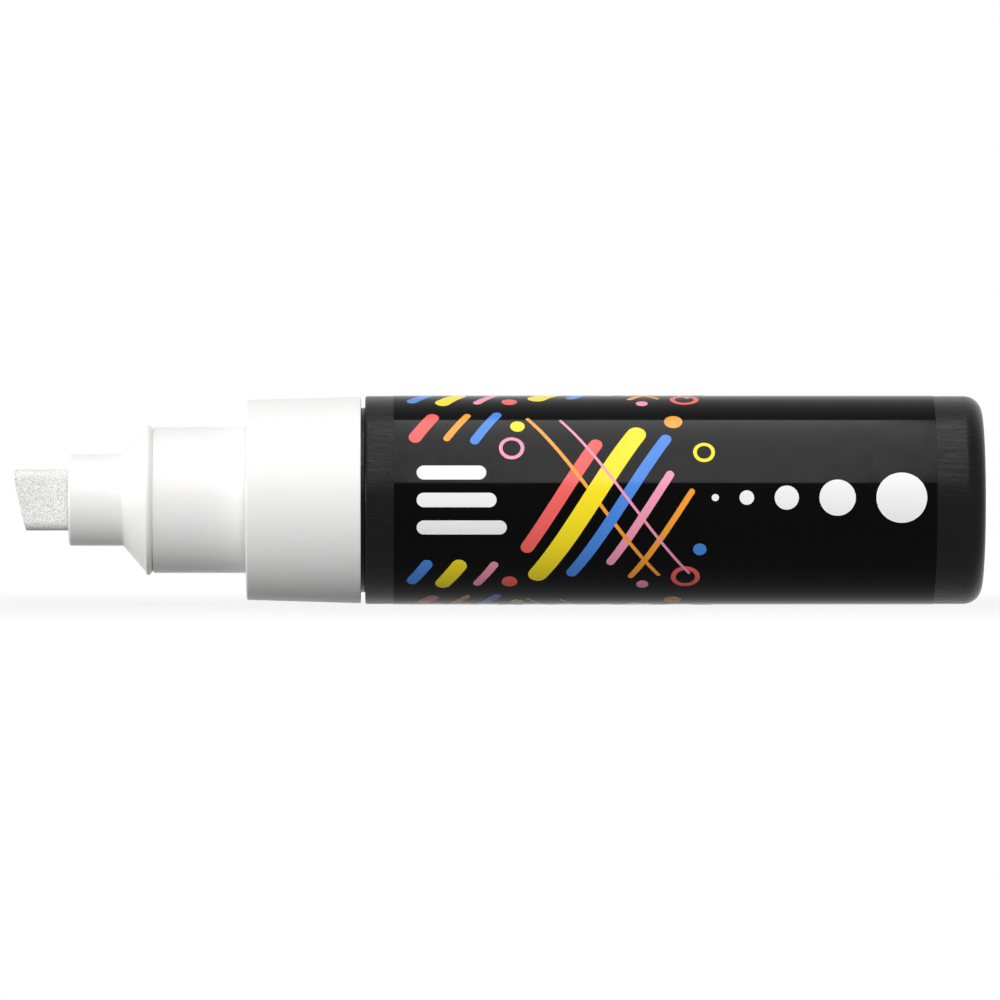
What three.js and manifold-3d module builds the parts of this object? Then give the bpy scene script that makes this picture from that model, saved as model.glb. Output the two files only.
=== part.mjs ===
// A wide acrylic paint marker with its cap off, in millimetres, +Z up.
// The marker lies along X with its nib towards -X. x = 0 is the front shoulder of the tank, and
// the last lines move the whole marker so that its origin is the middle of its box's bottom.
import * as THREE from "three";
import { mergeVertices } from "three/addons/utils/BufferGeometryUtils.js";
import Module from "manifold-3d";

// Fits
const TOUCH = 0.02; // between flat faces that bear on each other
const PRESS_GAP = 0.05; // round a piece that is pushed home and stays there
const SLIDE_GAP = 0.15; // round a piece that slides
const NIB_GAP = 0.1; // round the nib in its pocket
const THREAD_GAP = 0.25; // between the crest of one thread and the root of the other

// Tank
const TANK_RADIUS = 17.33;
const TANK_LENGTH = 102.7; // shoulder to tail
const TANK_WALL = 1.5;
const TAIL_WALL = 1.9;
const TAIL_FILLET = 3;
const TANK_INNER_ROUND = 2; // where the wall meets the tail and the shoulder, inside
const SHOULDER_WALL = 1.7;
const SHOULDER_EDGE = 0.35;
const NECK_WALL = 1.6;
const NECK_BASE_LENGTH = 2.2; // the ring that shows behind the grip
const LIP_CHAMFER = 0.3;

// Screw thread of the neck and the head
const PITCH = 3;
const THREAD_HEIGHT = 0.9;
const THREAD_ROOT_WIDTH = 1.5;
const THREAD_CREST_WIDTH = 0.8;
const THREAD_FRONT_GAP = 2; // from the lip to the middle of the neck's first turn
const THREAD_REAR_GAP = 2.3; // from the middle of the head's last turn to the neck's base ring
const THREAD_SUNK = 0.3; // how deep a ridge's root lies in its wall

// Label
const LABEL_THICKNESS = 0.1;
const LABEL_START = 4.72;
const LABEL_LENGTH = 89.8;

// Head: the collar and the grip
const COLLAR_RADIUS = 12.15;
const COLLAR_LENGTH = 15.5;
const COLLAR_WALL = 1.25;
const GRIP_LENGTH = 19.03;
const GRIP_STEP = 0.13; // how far the grip's rear edge lies inside the tank's surface
const GRIP_TAPER = 0.55; // how much smaller the grip's radius is at its front
const GRIP_EDGE = 0.25;
const GRIP_TO_TANK = 0.72;
const GRIP_WALL = 2.25; // at the rear, over the thread
const MOUTH_WALL = 1.57; // at the wider mouth that goes over the neck's base ring
const MOUTH_GAP = 0.52; // from the bottom of the mouth to the base ring
const WEB_THICKNESS = 2.2; // the grip's front wall

// Nozzle
const NOZZLE_LENGTH = 9.03;
const NOZZLE_WALL = 0.92;
const NOZZLE_EDGE = 0.3;
const CONE_LENGTH = 3.8;
const CONE_WALL = 1.1;
const BEAD_PROUD = 0.35; // how far the bead stands over the collar
const BEAD_STEP = 0.45; // how far it stands over the end of the cone
const BEAD_WIDTH = 1.22;
const PLUG_WALL = 1.25;
const PLUG_GAP = 0.3; // between the nozzle's plug and the valve body
const KEY_SLOT_DEPTH = 0.42;
const KEY_SLOT_WIDTH = 2;
const KEY_SLOT_FRONT = 2.6; // from the nozzle's rim to the front end of the slots

// Nib
const NIB_HEIGHT = 10.15;
const NIB_DEPTH = 8.6;
const NIB_CORNER = 1.6;
const NIB_REACH = 9.03; // from the nozzle's rim to the nib's long corner
const NIB_TIP_FLAT = 2.3; // square part of the tip, above its slant
const NIB_SLANT_BACK = 1.9; // how far the slant draws back at the bottom
const NIB_TIP_ROUND = 0.5;

// Nib carrier
const CARRIER_INSET = 0.95; // from the nozzle's rim to the carrier's front
const CARRIER_WALL = 0.45; // at the nib's corners, where it is thinnest
const CARRIER_FLOOR = 1.4;
const BOSS_WALL = 1.05;
const BOSS_LENGTH = 2.9;
const PORT_RADIUS = 1.15;
const PORTS = 4;
const KEY_LENGTH = 5;
const KEY_HOLD = 0.5; // how much of a key is still in its slot at full stroke

// Valve
const STROKE = 3.5;
const STOP_GAP = 0.3; // left between the boss and the valve body at full stroke
const VALVE_LENGTH = 13; // in the collar, ahead of the flange
const VALVE_WALL = 1.04; // under the seal's groove
const VALVE_FRONT_WALL = 1.4;
const VALVE_FLANGE_THICKNESS = 1.6;
const VALVE_CHAMFER = 0.5;
const SEAT_LIP_WIDTH = 1;
const SEAT_LIP_HEIGHT = 0.8;
const SEAT_INSET = 0.5; // from the washer's edge in to the seat's lip
const SEAL_SECTION = 0.78; // radius of the round seal's section
const SEAL_SETBACK = 5.5; // from the valve's front to the middle of the seal
const STEM_RADIUS = 2.5;
const STEM_STEP = 0.3; // how much thinner the spigot and the tail are
const SPIGOT_LENGTH = 2.4;
const SPIGOT_CHAMFER = 0.3;
const STEM_FLANGE_GAP = 0.9; // from the stem's flange out to the cage
const STEM_FLANGE_THICKNESS = 1.2;
const STEM_TAIL_OUT = 1.1; // how far the tail stands out behind the cage
const STEM_TAIL_CHAMFER = 0.6;
const WASHER_INSET = 0.2; // from the flange's edge in to the washer's
const WASHER_THICKNESS = 1.5;
const GASKET_THICKNESS = 1.15;

// Spring and its cage
const WIRE_RADIUS = 0.45;
const SPRING_INSET = 1.15; // from the flange's edge in to the spring
const SPRING_CURLS = 7;
const SPRING_END_GAP = 0.55; // between the first two curls, and between the last two
const CAGE_WALL = 1.35;
const CAGE_INSERT = 5; // how far its skirt goes into the valve body
const CAGE_RIM_STEP = 1.45; // how far the rim stands out
const CAGE_RIM_THICKNESS = 1.2;
const CAGE_BASKET_LENGTH = 7.7; // behind the rim
const CAGE_BACK = 1.6;
const CAGE_CHAMFER = 0.8;
const WINDOWS = 4;
const WINDOW_WIDTH = 5;
const WINDOW_TO_RIM = 1.7;
const WINDOW_TO_BACK = 0.4;

// Mixing balls
const BALL_RADIUS = 4.5;
const BALL_TO_SHOULDER = 30;
const BALL_TO_TAIL = 30.7;

// Facets, and how far a cutting shape runs past the face that it cuts
const FACETS = 48; // round the larger turned pieces
const SMALL_FACETS = 32; // round the small ones
const PORT_FACETS = 12;
const BALL_FACETS = 20;
const BALL_RINGS = 12;
const THREAD_STEPS = 36; // to one turn of the thread
const CURL_STEPS = 8; // to one curl of the spring
const WIRE_SIDES = 5;
const ARC_STEPS = 5; // to a rounded edge
const SMALL_ARC_STEPS = 3;
const SEAL_STEPS = 8;
const CUT_PAST = 1;

// Radii, from the tank's surface in to its bore
const tankBore = TANK_RADIUS - TANK_WALL;
const labelRadius = TANK_RADIUS + TOUCH + LABEL_THICKNESS;
const gripRearRadius = TANK_RADIUS - GRIP_STEP;
const gripFrontRadius = gripRearRadius - GRIP_TAPER;
const mouthRadius = gripRearRadius - MOUTH_WALL;
const neckBaseRadius = mouthRadius - THREAD_GAP;
const headRoot = gripRearRadius - GRIP_WALL;
const neckCrest = headRoot - THREAD_GAP;
const neckRoot = neckCrest - THREAD_HEIGHT;
const headCrest = neckRoot + THREAD_GAP;
const neckBore = neckRoot - NECK_WALL;

// Radii, from the collar in to the stem
const beadRadius = COLLAR_RADIUS + BEAD_PROUD;
const coneEndRadius = beadRadius - BEAD_STEP;
const collarBore = COLLAR_RADIUS - COLLAR_WALL;
const plugRadius = collarBore - PRESS_GAP;
const plugBore = plugRadius - PLUG_WALL;
const sealRadius = plugRadius - SEAL_SECTION; // to the middle of its section
const sealGrooveRadius = sealRadius - SEAL_SECTION - PRESS_GAP;
const valveCavity = sealGrooveRadius - VALVE_WALL;
const cageRadius = valveCavity - PRESS_GAP;
const cageRimRadius = cageRadius + CAGE_RIM_STEP;
const cageBore = cageRadius - CAGE_WALL;
const stemFlangeRadius = cageBore - STEM_FLANGE_GAP;
const springRadius = stemFlangeRadius - SPRING_INSET - WIRE_RADIUS; // to the middle of the wire
const washerRadius = stemFlangeRadius - WASHER_INSET;
const seatLipRadius = washerRadius - SEAT_INSET;
const seatBore = seatLipRadius - SEAT_LIP_WIDTH;
const stemEndRadius = STEM_RADIUS - STEM_STEP;
const bossRadius = stemEndRadius + PRESS_GAP + BOSS_WALL;

// Radii, from the nib's corners out to the nozzle's surface
const nibCornerReach = Math.hypot(NIB_HEIGHT / 2 - NIB_CORNER, NIB_DEPTH / 2 - NIB_CORNER) + NIB_CORNER;
const carrierRadius = nibCornerReach + NIB_GAP + CARRIER_WALL;
const portCircle = (bossRadius + carrierRadius) / 2;
const nozzleBore = carrierRadius + SLIDE_GAP;
const nozzleRadius = nozzleBore + NOZZLE_WALL;

// Stations along the axis, from the tank forwards
const tankRear = TANK_LENGTH;
const neckBaseFrontX = -NECK_BASE_LENGTH;
const mouthFrontX = neckBaseFrontX - MOUTH_GAP;
const gripRearX = -GRIP_TO_TANK;
const gripFrontX = gripRearX - GRIP_LENGTH;
const webRearX = gripFrontX + WEB_THICKNESS;
const collarFrontX = gripFrontX - COLLAR_LENGTH;
const beadRearX = collarFrontX - TOUCH;
const beadFrontX = beadRearX - BEAD_WIDTH;
const coneFrontX = beadFrontX - CONE_LENGTH;
const nozzleFrontX = coneFrontX - NOZZLE_LENGTH;
const nibTipX = nozzleFrontX - NIB_REACH;

// Stations of what is clamped and pushed together inside the head
const valveFlangeX = webRearX + TOUCH;
const valveRearX = valveFlangeX + VALVE_FLANGE_THICKNESS;
const valveFrontX = valveFlangeX - VALVE_LENGTH;
const gasketFrontX = valveRearX + TOUCH;
const lipX = gasketFrontX + GASKET_THICKNESS + TOUCH;
const threadFrontX = lipX + THREAD_FRONT_GAP;
const headThreadFrontX = threadFrontX + PITCH / 2;
const threadTurns = (neckBaseFrontX - THREAD_REAR_GAP - headThreadFrontX) / PITCH;
const sealX = valveFrontX + SEAL_SETBACK;
const seatX = valveFrontX + VALVE_FRONT_WALL + SEAT_LIP_HEIGHT;
const washerFrontX = seatX + TOUCH;
const stemFlangeX = washerFrontX + WASHER_THICKNESS + TOUCH;
const stemFlangeRearX = stemFlangeX + STEM_FLANGE_THICKNESS;
const cageRimFrontX = valveRearX + TOUCH;
const cageRimRearX = cageRimFrontX + CAGE_RIM_THICKNESS;
const cageRearX = cageRimRearX + CAGE_BASKET_LENGTH;
const cageBackX = cageRearX - CAGE_BACK;
const springFrontX = stemFlangeRearX + TOUCH;
const springRearX = cageBackX - TOUCH;

// Stations of the nib carrier
const carrierFrontX = nozzleFrontX + CARRIER_INSET;
const bossRearX = valveFrontX - STROKE - STOP_GAP;
const spigotFrontX = bossRearX - SPIGOT_LENGTH;
const floorRearX = bossRearX - BOSS_LENGTH;
const pocketEndX = floorRearX - CARRIER_FLOOR;
const keyFrontX = coneFrontX - STROKE - KEY_HOLD;

const wasm = await Module();
wasm.setup();

// A closed geometry as a solid that can be joined and cut.
function solidOf(geometry) {
  const bare = geometry.clone();
  bare.deleteAttribute("normal");
  bare.deleteAttribute("uv");
  const merged = mergeVertices(bare);
  return new wasm.Manifold(
    new wasm.Mesh({
      numProp: 3,
      vertProperties: new Float32Array(merged.attributes.position.array),
      triVerts: new Uint32Array(merged.index.array),
    }),
  );
}

// A joined or cut solid as a geometry again.
function geometryOf(solid) {
  const mesh = solid.getMesh();
  const geometry = new THREE.BufferGeometry();
  geometry.setAttribute("position", new THREE.BufferAttribute(mesh.vertProperties, 3));
  geometry.setIndex(new THREE.BufferAttribute(mesh.triVerts, 1));
  geometry.computeVertexNormals();
  return geometry;
}

// A radius such that the flats of a ring of facets, not its corners, lie on it.
function onFlats(radius, facets) {
  return radius / Math.cos(Math.PI / facets);
}

// A piece turned about the X axis from points [x, radius]: the outside runs towards +X, the inside
// back towards -X. A flat of the ring faces down. A profile that isn't on the axis closes on itself.
function turned(profile, facets = FACETS) {
  const onAxis = profile[0][1] === 0;
  const closed = onAxis ? profile : [...profile, profile[0]];
  const points = closed.map(([x, r]) => new THREE.Vector2(onFlats(r, facets), x));
  const geometry = new THREE.LatheGeometry(points, facets, Math.PI / facets);
  return geometry.rotateZ(-Math.PI / 2);
}

// Points [x, radius] of an arc about a centre, from one angle to another in degrees, 0 along +X.
function arc([x, r], radius, from, to, steps = ARC_STEPS) {
  return Array.from({ length: steps + 1 }, (_, i) => {
    const angle = THREE.MathUtils.degToRad(from + ((to - from) * i) / steps);
    return [x + radius * Math.cos(angle), r + radius * Math.sin(angle)];
  });
}

// A bar along X between two stations, with a section drawn in (y, z).
function barAlongX(section, fromX, toX) {
  const bar = new THREE.ExtrudeGeometry(section, {
    depth: toX - fromX,
    bevelEnabled: false,
    curveSegments: ARC_STEPS,
  });
  return bar.rotateX(Math.PI / 2).rotateZ(Math.PI / 2).translate(fromX, 0, 0);
}

// A rectangle with round corners, centred on the axis.
function roundedRectangle(width, height, corner) {
  const x = width / 2;
  const y = height / 2;
  const shape = new THREE.Shape();
  shape.moveTo(-x + corner, -y);
  shape.lineTo(x - corner, -y);
  shape.absarc(x - corner, -y + corner, corner, -Math.PI / 2, 0);
  shape.lineTo(x, y - corner);
  shape.absarc(x - corner, y - corner, corner, 0, Math.PI / 2);
  shape.lineTo(-x + corner, y);
  shape.absarc(-x + corner, y - corner, corner, Math.PI / 2, Math.PI);
  shape.lineTo(-x, -y + corner);
  shape.absarc(-x + corner, -y + corner, corner, Math.PI, 1.5 * Math.PI);
  return shape;
}

// A box between two corners.
function block([x0, y0, z0], [x1, y1, z1]) {
  const box = new THREE.BoxGeometry(x1 - x0, y1 - y0, z1 - z0);
  return box.translate((x0 + x1) / 2, (y0 + y1) / 2, (z0 + z1) / 2);
}

// A closed tube from rings of points: each ring is a list of THREE.Vector3, and both ends are capped.
function tubeThrough(rings) {
  const sides = rings[0].length;
  const last = (rings.length - 1) * sides;
  const positions = rings.flat().flatMap((p) => [p.x, p.y, p.z]);
  const faces = [];
  for (let i = 0; i < rings.length - 1; i++) {
    for (let j = 0; j < sides; j++) {
      const a = i * sides + j;
      const b = i * sides + ((j + 1) % sides);
      faces.push(a, b, a + sides, b, b + sides, a + sides);
    }
  }
  for (let j = 1; j < sides - 1; j++) {
    faces.push(0, j + 1, j);
    faces.push(last, last + j, last + j + 1);
  }
  const geometry = new THREE.BufferGeometry();
  geometry.setAttribute("position", new THREE.Float32BufferAttribute(positions, 3));
  geometry.setIndex(faces);
  geometry.computeVertexNormals();
  return facingOut(geometry);
}

// The same closed geometry with its faces turned outwards, whichever way it was wound.
function facingOut(geometry) {
  const index = geometry.index.array;
  const corner = (i) => new THREE.Vector3().fromBufferAttribute(geometry.attributes.position, index[i]);
  let volume = 0;
  for (let i = 0; i < index.length; i += 3) {
    volume += corner(i).dot(corner(i + 1).cross(corner(i + 2)));
  }
  if (volume < 0) {
    for (let i = 0; i < index.length; i += 3) {
      [index[i + 1], index[i + 2]] = [index[i + 2], index[i + 1]];
    }
    geometry.computeVertexNormals();
  }
  return geometry;
}

// A right-hand ridge round the X axis that starts at firstX, on top, and winds towards +X.
// Its root lies at rootRadius, sunk a little into the wall, and its crest at crestRadius.
function threadRidge(firstX, rootRadius, crestRadius) {
  const sunkRadius = rootRadius + THREAD_SUNK * Math.sign(rootRadius - crestRadius);
  const steps = Math.round(threadTurns * THREAD_STEPS);
  const section = [
    [-THREAD_ROOT_WIDTH / 2, sunkRadius],
    [-THREAD_CREST_WIDTH / 2, crestRadius],
    [THREAD_CREST_WIDTH / 2, crestRadius],
    [THREAD_ROOT_WIDTH / 2, sunkRadius],
  ];
  const rings = [];
  for (let i = 0; i <= steps; i++) {
    const turn = i / THREAD_STEPS;
    const angle = 2 * Math.PI * turn;
    rings.push(
      section.map(([x, r]) => {
        const radius = onFlats(r, THREAD_STEPS);
        const y = -radius * Math.sin(angle);
        const z = radius * Math.cos(angle);
        return new THREE.Vector3(firstX + x + PITCH * turn, y, z);
      }),
    );
  }
  return tubeThrough(rings);
}

// The tank: a tube closed at the tail, with a threaded neck at the front.
function tank() {
  const tailX = tankRear - TAIL_WALL;
  const round = TANK_INNER_ROUND;
  const inside = [
    [tailX, 0],
    ...arc([tailX - round, tankBore - round], round, 0, 90, SMALL_ARC_STEPS),
    [SHOULDER_WALL + round, tankBore],
    [SHOULDER_WALL, neckBore],
    [lipX, neckBore],
  ];
  const outside = [
    [lipX, neckRoot - LIP_CHAMFER],
    [lipX + LIP_CHAMFER, neckRoot],
    [neckBaseFrontX, neckRoot],
    [neckBaseFrontX, neckBaseRadius],
    [0, neckBaseRadius],
    [0, TANK_RADIUS - SHOULDER_EDGE],
    [SHOULDER_EDGE, TANK_RADIUS],
    ...arc([tankRear - TAIL_FILLET, TANK_RADIUS - TAIL_FILLET], TAIL_FILLET, 90, 0),
    [tankRear, 0],
  ];
  const body = solidOf(turned([...inside, ...outside]));
  const ridge = threadRidge(threadFrontX, neckRoot, neckCrest);
  return geometryOf(body.add(solidOf(ridge)));
}

// The printed film round the tank.
function labelSleeve() {
  const inner = TANK_RADIUS + TOUCH;
  const rear = LABEL_START + LABEL_LENGTH;
  return turned([
    [LABEL_START, labelRadius],
    [rear, labelRadius],
    [rear, inner],
    [LABEL_START, inner],
  ]);
}

// The collar that a cap slides over and the grip behind it, with the thread that takes the neck.
function headShell() {
  const shell = turned([
    [collarFrontX, COLLAR_RADIUS],
    [gripFrontX, COLLAR_RADIUS],
    [gripFrontX, gripFrontRadius - GRIP_EDGE],
    [gripFrontX + GRIP_EDGE, gripFrontRadius],
    [gripRearX, gripRearRadius],
    [gripRearX, mouthRadius],
    [mouthFrontX, mouthRadius],
    [mouthFrontX, headRoot],
    [webRearX, headRoot],
    [webRearX, collarBore],
    [collarFrontX, collarBore],
  ]);
  const ridge = threadRidge(headThreadFrontX, headRoot, headCrest);
  return geometryOf(solidOf(shell).add(solidOf(ridge)));
}

// The nozzle: a tube for the nib, its cone, the bead for the cap and the plug in the collar.
function nozzle() {
  const slope = (coneEndRadius - nozzleRadius) / CONE_LENGTH;
  const wallAlongX = CONE_WALL * Math.hypot(1, 1 / slope);
  const flareX = (radius) => coneFrontX + (radius - nozzleRadius) / slope + wallAlongX;
  const beadCentre = [(beadFrontX + beadRearX) / 2, beadRadius - BEAD_WIDTH / 2];
  const plugEndX = valveFrontX - PLUG_GAP;
  const edgeCentre = [nozzleFrontX + NOZZLE_EDGE, nozzleRadius - NOZZLE_EDGE];
  const body = turned([
    ...arc(edgeCentre, NOZZLE_EDGE, 180, 90, SMALL_ARC_STEPS),
    [coneFrontX, nozzleRadius],
    [beadFrontX, coneEndRadius],
    ...arc(beadCentre, BEAD_WIDTH / 2, 140, 0),
    [beadRearX, plugRadius],
    [plugEndX, plugRadius],
    [plugEndX, plugBore],
    [flareX(plugBore), plugBore],
    [flareX(nozzleBore), nozzleBore],
    [nozzleFrontX, nozzleBore],
  ]);
  const slotTop = nozzleBore + KEY_SLOT_DEPTH;
  const slots = block(
    [nozzleFrontX + KEY_SLOT_FRONT, -slotTop, -KEY_SLOT_WIDTH / 2],
    [flareX(slotTop) + CUT_PAST, slotTop, KEY_SLOT_WIDTH / 2],
  );
  return geometryOf(solidOf(body).subtract(solidOf(slots)));
}

// The nib: a bar with round long edges, cut to the slanted tip.
function nib() {
  const bar = barAlongX(roundedRectangle(NIB_DEPTH, NIB_HEIGHT, NIB_CORNER), nibTipX, pocketEndX - TOUCH);
  const top = NIB_HEIGHT / 2;
  const slantX = nibTipX + NIB_SLANT_BACK;
  const r = NIB_TIP_ROUND;
  const side = new THREE.Shape();
  side.moveTo(pocketEndX + CUT_PAST, top + CUT_PAST);
  side.lineTo(nibTipX + r, top + CUT_PAST);
  side.lineTo(nibTipX + r, top);
  side.quadraticCurveTo(nibTipX, top, nibTipX, top - r);
  side.lineTo(nibTipX, top - NIB_TIP_FLAT);
  side.lineTo(slantX - r / 2, -top + r);
  side.quadraticCurveTo(slantX, -top, slantX + r, -top);
  side.lineTo(slantX + r, -top - CUT_PAST);
  side.lineTo(pocketEndX + CUT_PAST, -top - CUT_PAST);
  const cut = new THREE.ExtrudeGeometry(side, {
    depth: 2 * NIB_DEPTH,
    bevelEnabled: false,
    curveSegments: SMALL_ARC_STEPS,
  });
  cut.rotateX(Math.PI / 2).translate(0, NIB_DEPTH, 0);
  return geometryOf(solidOf(bar).intersect(solidOf(cut)));
}

// The cup that holds the nib: keyed in the nozzle, ported in its floor, with a socketed boss.
function nibCarrier() {
  const socketRadius = stemEndRadius + PRESS_GAP;
  const cup = turned(
    [
      [carrierFrontX, 0],
      [carrierFrontX, carrierRadius],
      [floorRearX, carrierRadius],
      [floorRearX, bossRadius],
      [bossRearX, bossRadius],
      [bossRearX, socketRadius],
      [spigotFrontX, socketRadius],
      [spigotFrontX, 0],
    ],
    SMALL_FACETS,
  );
  const keyTop = nozzleBore + KEY_SLOT_DEPTH - SLIDE_GAP;
  const keyHalf = KEY_SLOT_WIDTH / 2 - SLIDE_GAP;
  const keys = block([keyFrontX, -keyTop, -keyHalf], [keyFrontX + KEY_LENGTH, keyTop, keyHalf]);
  const pocket = barAlongX(
    roundedRectangle(NIB_DEPTH + 2 * NIB_GAP, NIB_HEIGHT + 2 * NIB_GAP, NIB_CORNER + NIB_GAP),
    carrierFrontX - CUT_PAST,
    pocketEndX,
  );
  let solid = solidOf(cup).add(solidOf(keys)).subtract(solidOf(pocket));
  for (let i = 0; i < PORTS; i++) {
    const angle = (2 * Math.PI * (i + 0.5)) / PORTS;
    const port = turned(
      [
        [pocketEndX - CUT_PAST, 0],
        [pocketEndX - CUT_PAST, PORT_RADIUS],
        [floorRearX + CUT_PAST, PORT_RADIUS],
        [floorRearX + CUT_PAST, 0],
      ],
      PORT_FACETS,
    );
    port.translate(0, portCircle * Math.cos(angle), portCircle * Math.sin(angle));
    solid = solid.subtract(solidOf(port));
  }
  return geometryOf(solid);
}

// The stem: spigot, shank, flange and tail.
function valveStem() {
  const frontX = spigotFrontX + TOUCH;
  const shankX = bossRearX + TOUCH;
  const tailX = cageRearX + STEM_TAIL_OUT;
  return turned(
    [
      [frontX, 0],
      [frontX, stemEndRadius - SPIGOT_CHAMFER],
      [frontX + SPIGOT_CHAMFER, stemEndRadius],
      [shankX, stemEndRadius],
      [shankX, STEM_RADIUS],
      [stemFlangeX, STEM_RADIUS],
      [stemFlangeX, stemFlangeRadius],
      [stemFlangeRearX, stemFlangeRadius],
      [stemFlangeRearX, stemEndRadius],
      [tailX - STEM_TAIL_CHAMFER, stemEndRadius],
      [tailX, stemEndRadius - STEM_TAIL_CHAMFER],
      [tailX, 0],
    ],
    SMALL_FACETS,
  );
}

// The soft ring that closes on the seat.
function valveWasher() {
  const rear = washerFrontX + WASHER_THICKNESS;
  const inner = STEM_RADIUS + PRESS_GAP;
  return turned(
    [
      [washerFrontX, washerRadius],
      [rear, washerRadius],
      [rear, inner],
      [washerFrontX, inner],
    ],
    SMALL_FACETS,
  );
}

// The housing: a seat at the front, a groove for its seal, and the flange that the neck clamps.
function valveBody() {
  const wallRearX = valveFrontX + VALVE_FRONT_WALL;
  const grooveHalf = SEAL_SECTION + TOUCH;
  const flangeRadius = headCrest - SLIDE_GAP;
  return turned([
    [valveFrontX, plugRadius - VALVE_CHAMFER],
    [valveFrontX + VALVE_CHAMFER, plugRadius],
    [sealX - grooveHalf, plugRadius],
    [sealX - grooveHalf, sealGrooveRadius],
    [sealX + grooveHalf, sealGrooveRadius],
    [sealX + grooveHalf, plugRadius],
    [valveFlangeX, plugRadius],
    [valveFlangeX, flangeRadius],
    [valveRearX, flangeRadius],
    [valveRearX, valveCavity],
    [wallRearX, valveCavity],
    [wallRearX, seatLipRadius],
    [seatX, seatLipRadius],
    [seatX, seatBore],
    [valveFrontX, seatBore],
  ]);
}

// The round-section ring in the valve body's groove.
function bodySeal() {
  return turned(arc([sealX, sealRadius], SEAL_SECTION, 180, -180, SEAL_STEPS).slice(0, -1));
}

// The flat ring between the valve body's flange and the lip of the tank.
function neckGasket() {
  const rear = gasketFrontX + GASKET_THICKNESS;
  return turned([
    [gasketFrontX, neckRoot],
    [rear, neckRoot],
    [rear, neckBore],
    [gasketFrontX, neckBore],
  ]);
}

// The basket behind the valve body: skirt, rim, windows and a back with a hole for the stem.
function valveCage() {
  const skirtX = valveRearX - CAGE_INSERT;
  const hole = stemEndRadius + SLIDE_GAP;
  const basket = turned(
    [
      [skirtX, cageRadius],
      [cageRimFrontX, cageRadius],
      [cageRimFrontX, cageRimRadius],
      [cageRimRearX, cageRimRadius],
      [cageRimRearX, cageRadius],
      [cageRearX - CAGE_CHAMFER, cageRadius],
      [cageRearX, cageRadius - CAGE_CHAMFER],
      [cageRearX, hole],
      [cageBackX, hole],
      [cageBackX, cageBore],
      [skirtX, cageBore],
    ],
    SMALL_FACETS,
  );
  let solid = solidOf(basket);
  for (let i = 0; i < WINDOWS; i++) {
    const window = block(
      [cageRimRearX + WINDOW_TO_RIM, 0, -WINDOW_WIDTH / 2],
      [cageBackX - WINDOW_TO_BACK, cageRadius + CUT_PAST, WINDOW_WIDTH / 2],
    );
    window.rotateX((2 * Math.PI * (i + 0.5)) / WINDOWS);
    solid = solid.subtract(solidOf(window));
  }
  return geometryOf(solid);
}

// Middle points of the spring's wire: a helix whose first and last curls are drawn together.
function springPath() {
  const steps = SPRING_CURLS * CURL_STEPS;
  const openCurls = SPRING_CURLS - 2;
  const closedPitch = 2 * WIRE_RADIUS + SPRING_END_GAP;
  const length = springRearX - springFrontX - 2 * WIRE_RADIUS;
  const openPitch = (length - 2 * closedPitch) / openCurls;
  return Array.from({ length: steps + 1 }, (_, i) => {
    const curl = i / CURL_STEPS;
    const closed = Math.min(curl, 1) + Math.max(curl - SPRING_CURLS + 1, 0);
    const open = Math.min(Math.max(curl - 1, 0), openCurls);
    const x = springFrontX + WIRE_RADIUS + closedPitch * closed + openPitch * open;
    const angle = 2 * Math.PI * curl;
    return new THREE.Vector3(x, springRadius * Math.sin(angle), springRadius * Math.cos(angle));
  });
}

// The spring: one unbroken wire along that helix, with flat-cut ends.
function valveSpring() {
  const path = springPath();
  const rings = path.map((point, i) => {
    const outward = new THREE.Vector3(0, point.y, point.z).normalize();
    const before = path[Math.max(i - 1, 0)];
    const after = path[Math.min(i + 1, path.length - 1)];
    const along = after.clone().sub(before).normalize();
    const across = along.cross(outward).normalize();
    return Array.from({ length: WIRE_SIDES }, (_, j) => {
      const angle = (2 * Math.PI * j) / WIRE_SIDES;
      const offset = outward.clone().multiplyScalar(WIRE_RADIUS * Math.cos(angle));
      offset.addScaledVector(across, WIRE_RADIUS * Math.sin(angle));
      return point.clone().add(offset);
    });
  });
  return tubeThrough(rings);
}

// The least gap between neighbouring curls of the spring, from its middle points.
function springGap() {
  const path = springPath();
  let least = Infinity;
  path.forEach((a, i) => {
    for (let j = i + Math.ceil(CURL_STEPS / 2); j < path.length; j++) {
      least = Math.min(least, a.distanceTo(path[j]));
    }
  });
  return least - 2 * WIRE_RADIUS;
}

// A mixing ball that lies on the bottom of the tank.
function mixingBall(x) {
  const ball = new THREE.SphereGeometry(BALL_RADIUS, BALL_FACETS, BALL_RINGS);
  return ball.rotateZ(-Math.PI / 2).translate(x, 0, -tankBore + BALL_RADIUS + PRESS_GAP);
}

const WHITE_PLASTIC = { color: 0xf4f4f2, roughness: 0.35, metalness: 0 };
const BLACK_PLASTIC = { color: 0x151515, roughness: 0.5, metalness: 0 };
const BLACK_FILM = { color: 0x0b0b0c, roughness: 0.15, metalness: 0 };
const FELT = { color: 0xe9e9e7, roughness: 0.95, metalness: 0 };
const NATURAL_PLASTIC = { color: 0xdfe2dd, roughness: 0.45, metalness: 0 };
const RUBBER = { color: 0x2b2b2d, roughness: 0.8, metalness: 0 };
const STEEL = { color: 0xb9bcc0, roughness: 0.25, metalness: 1 };

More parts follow.
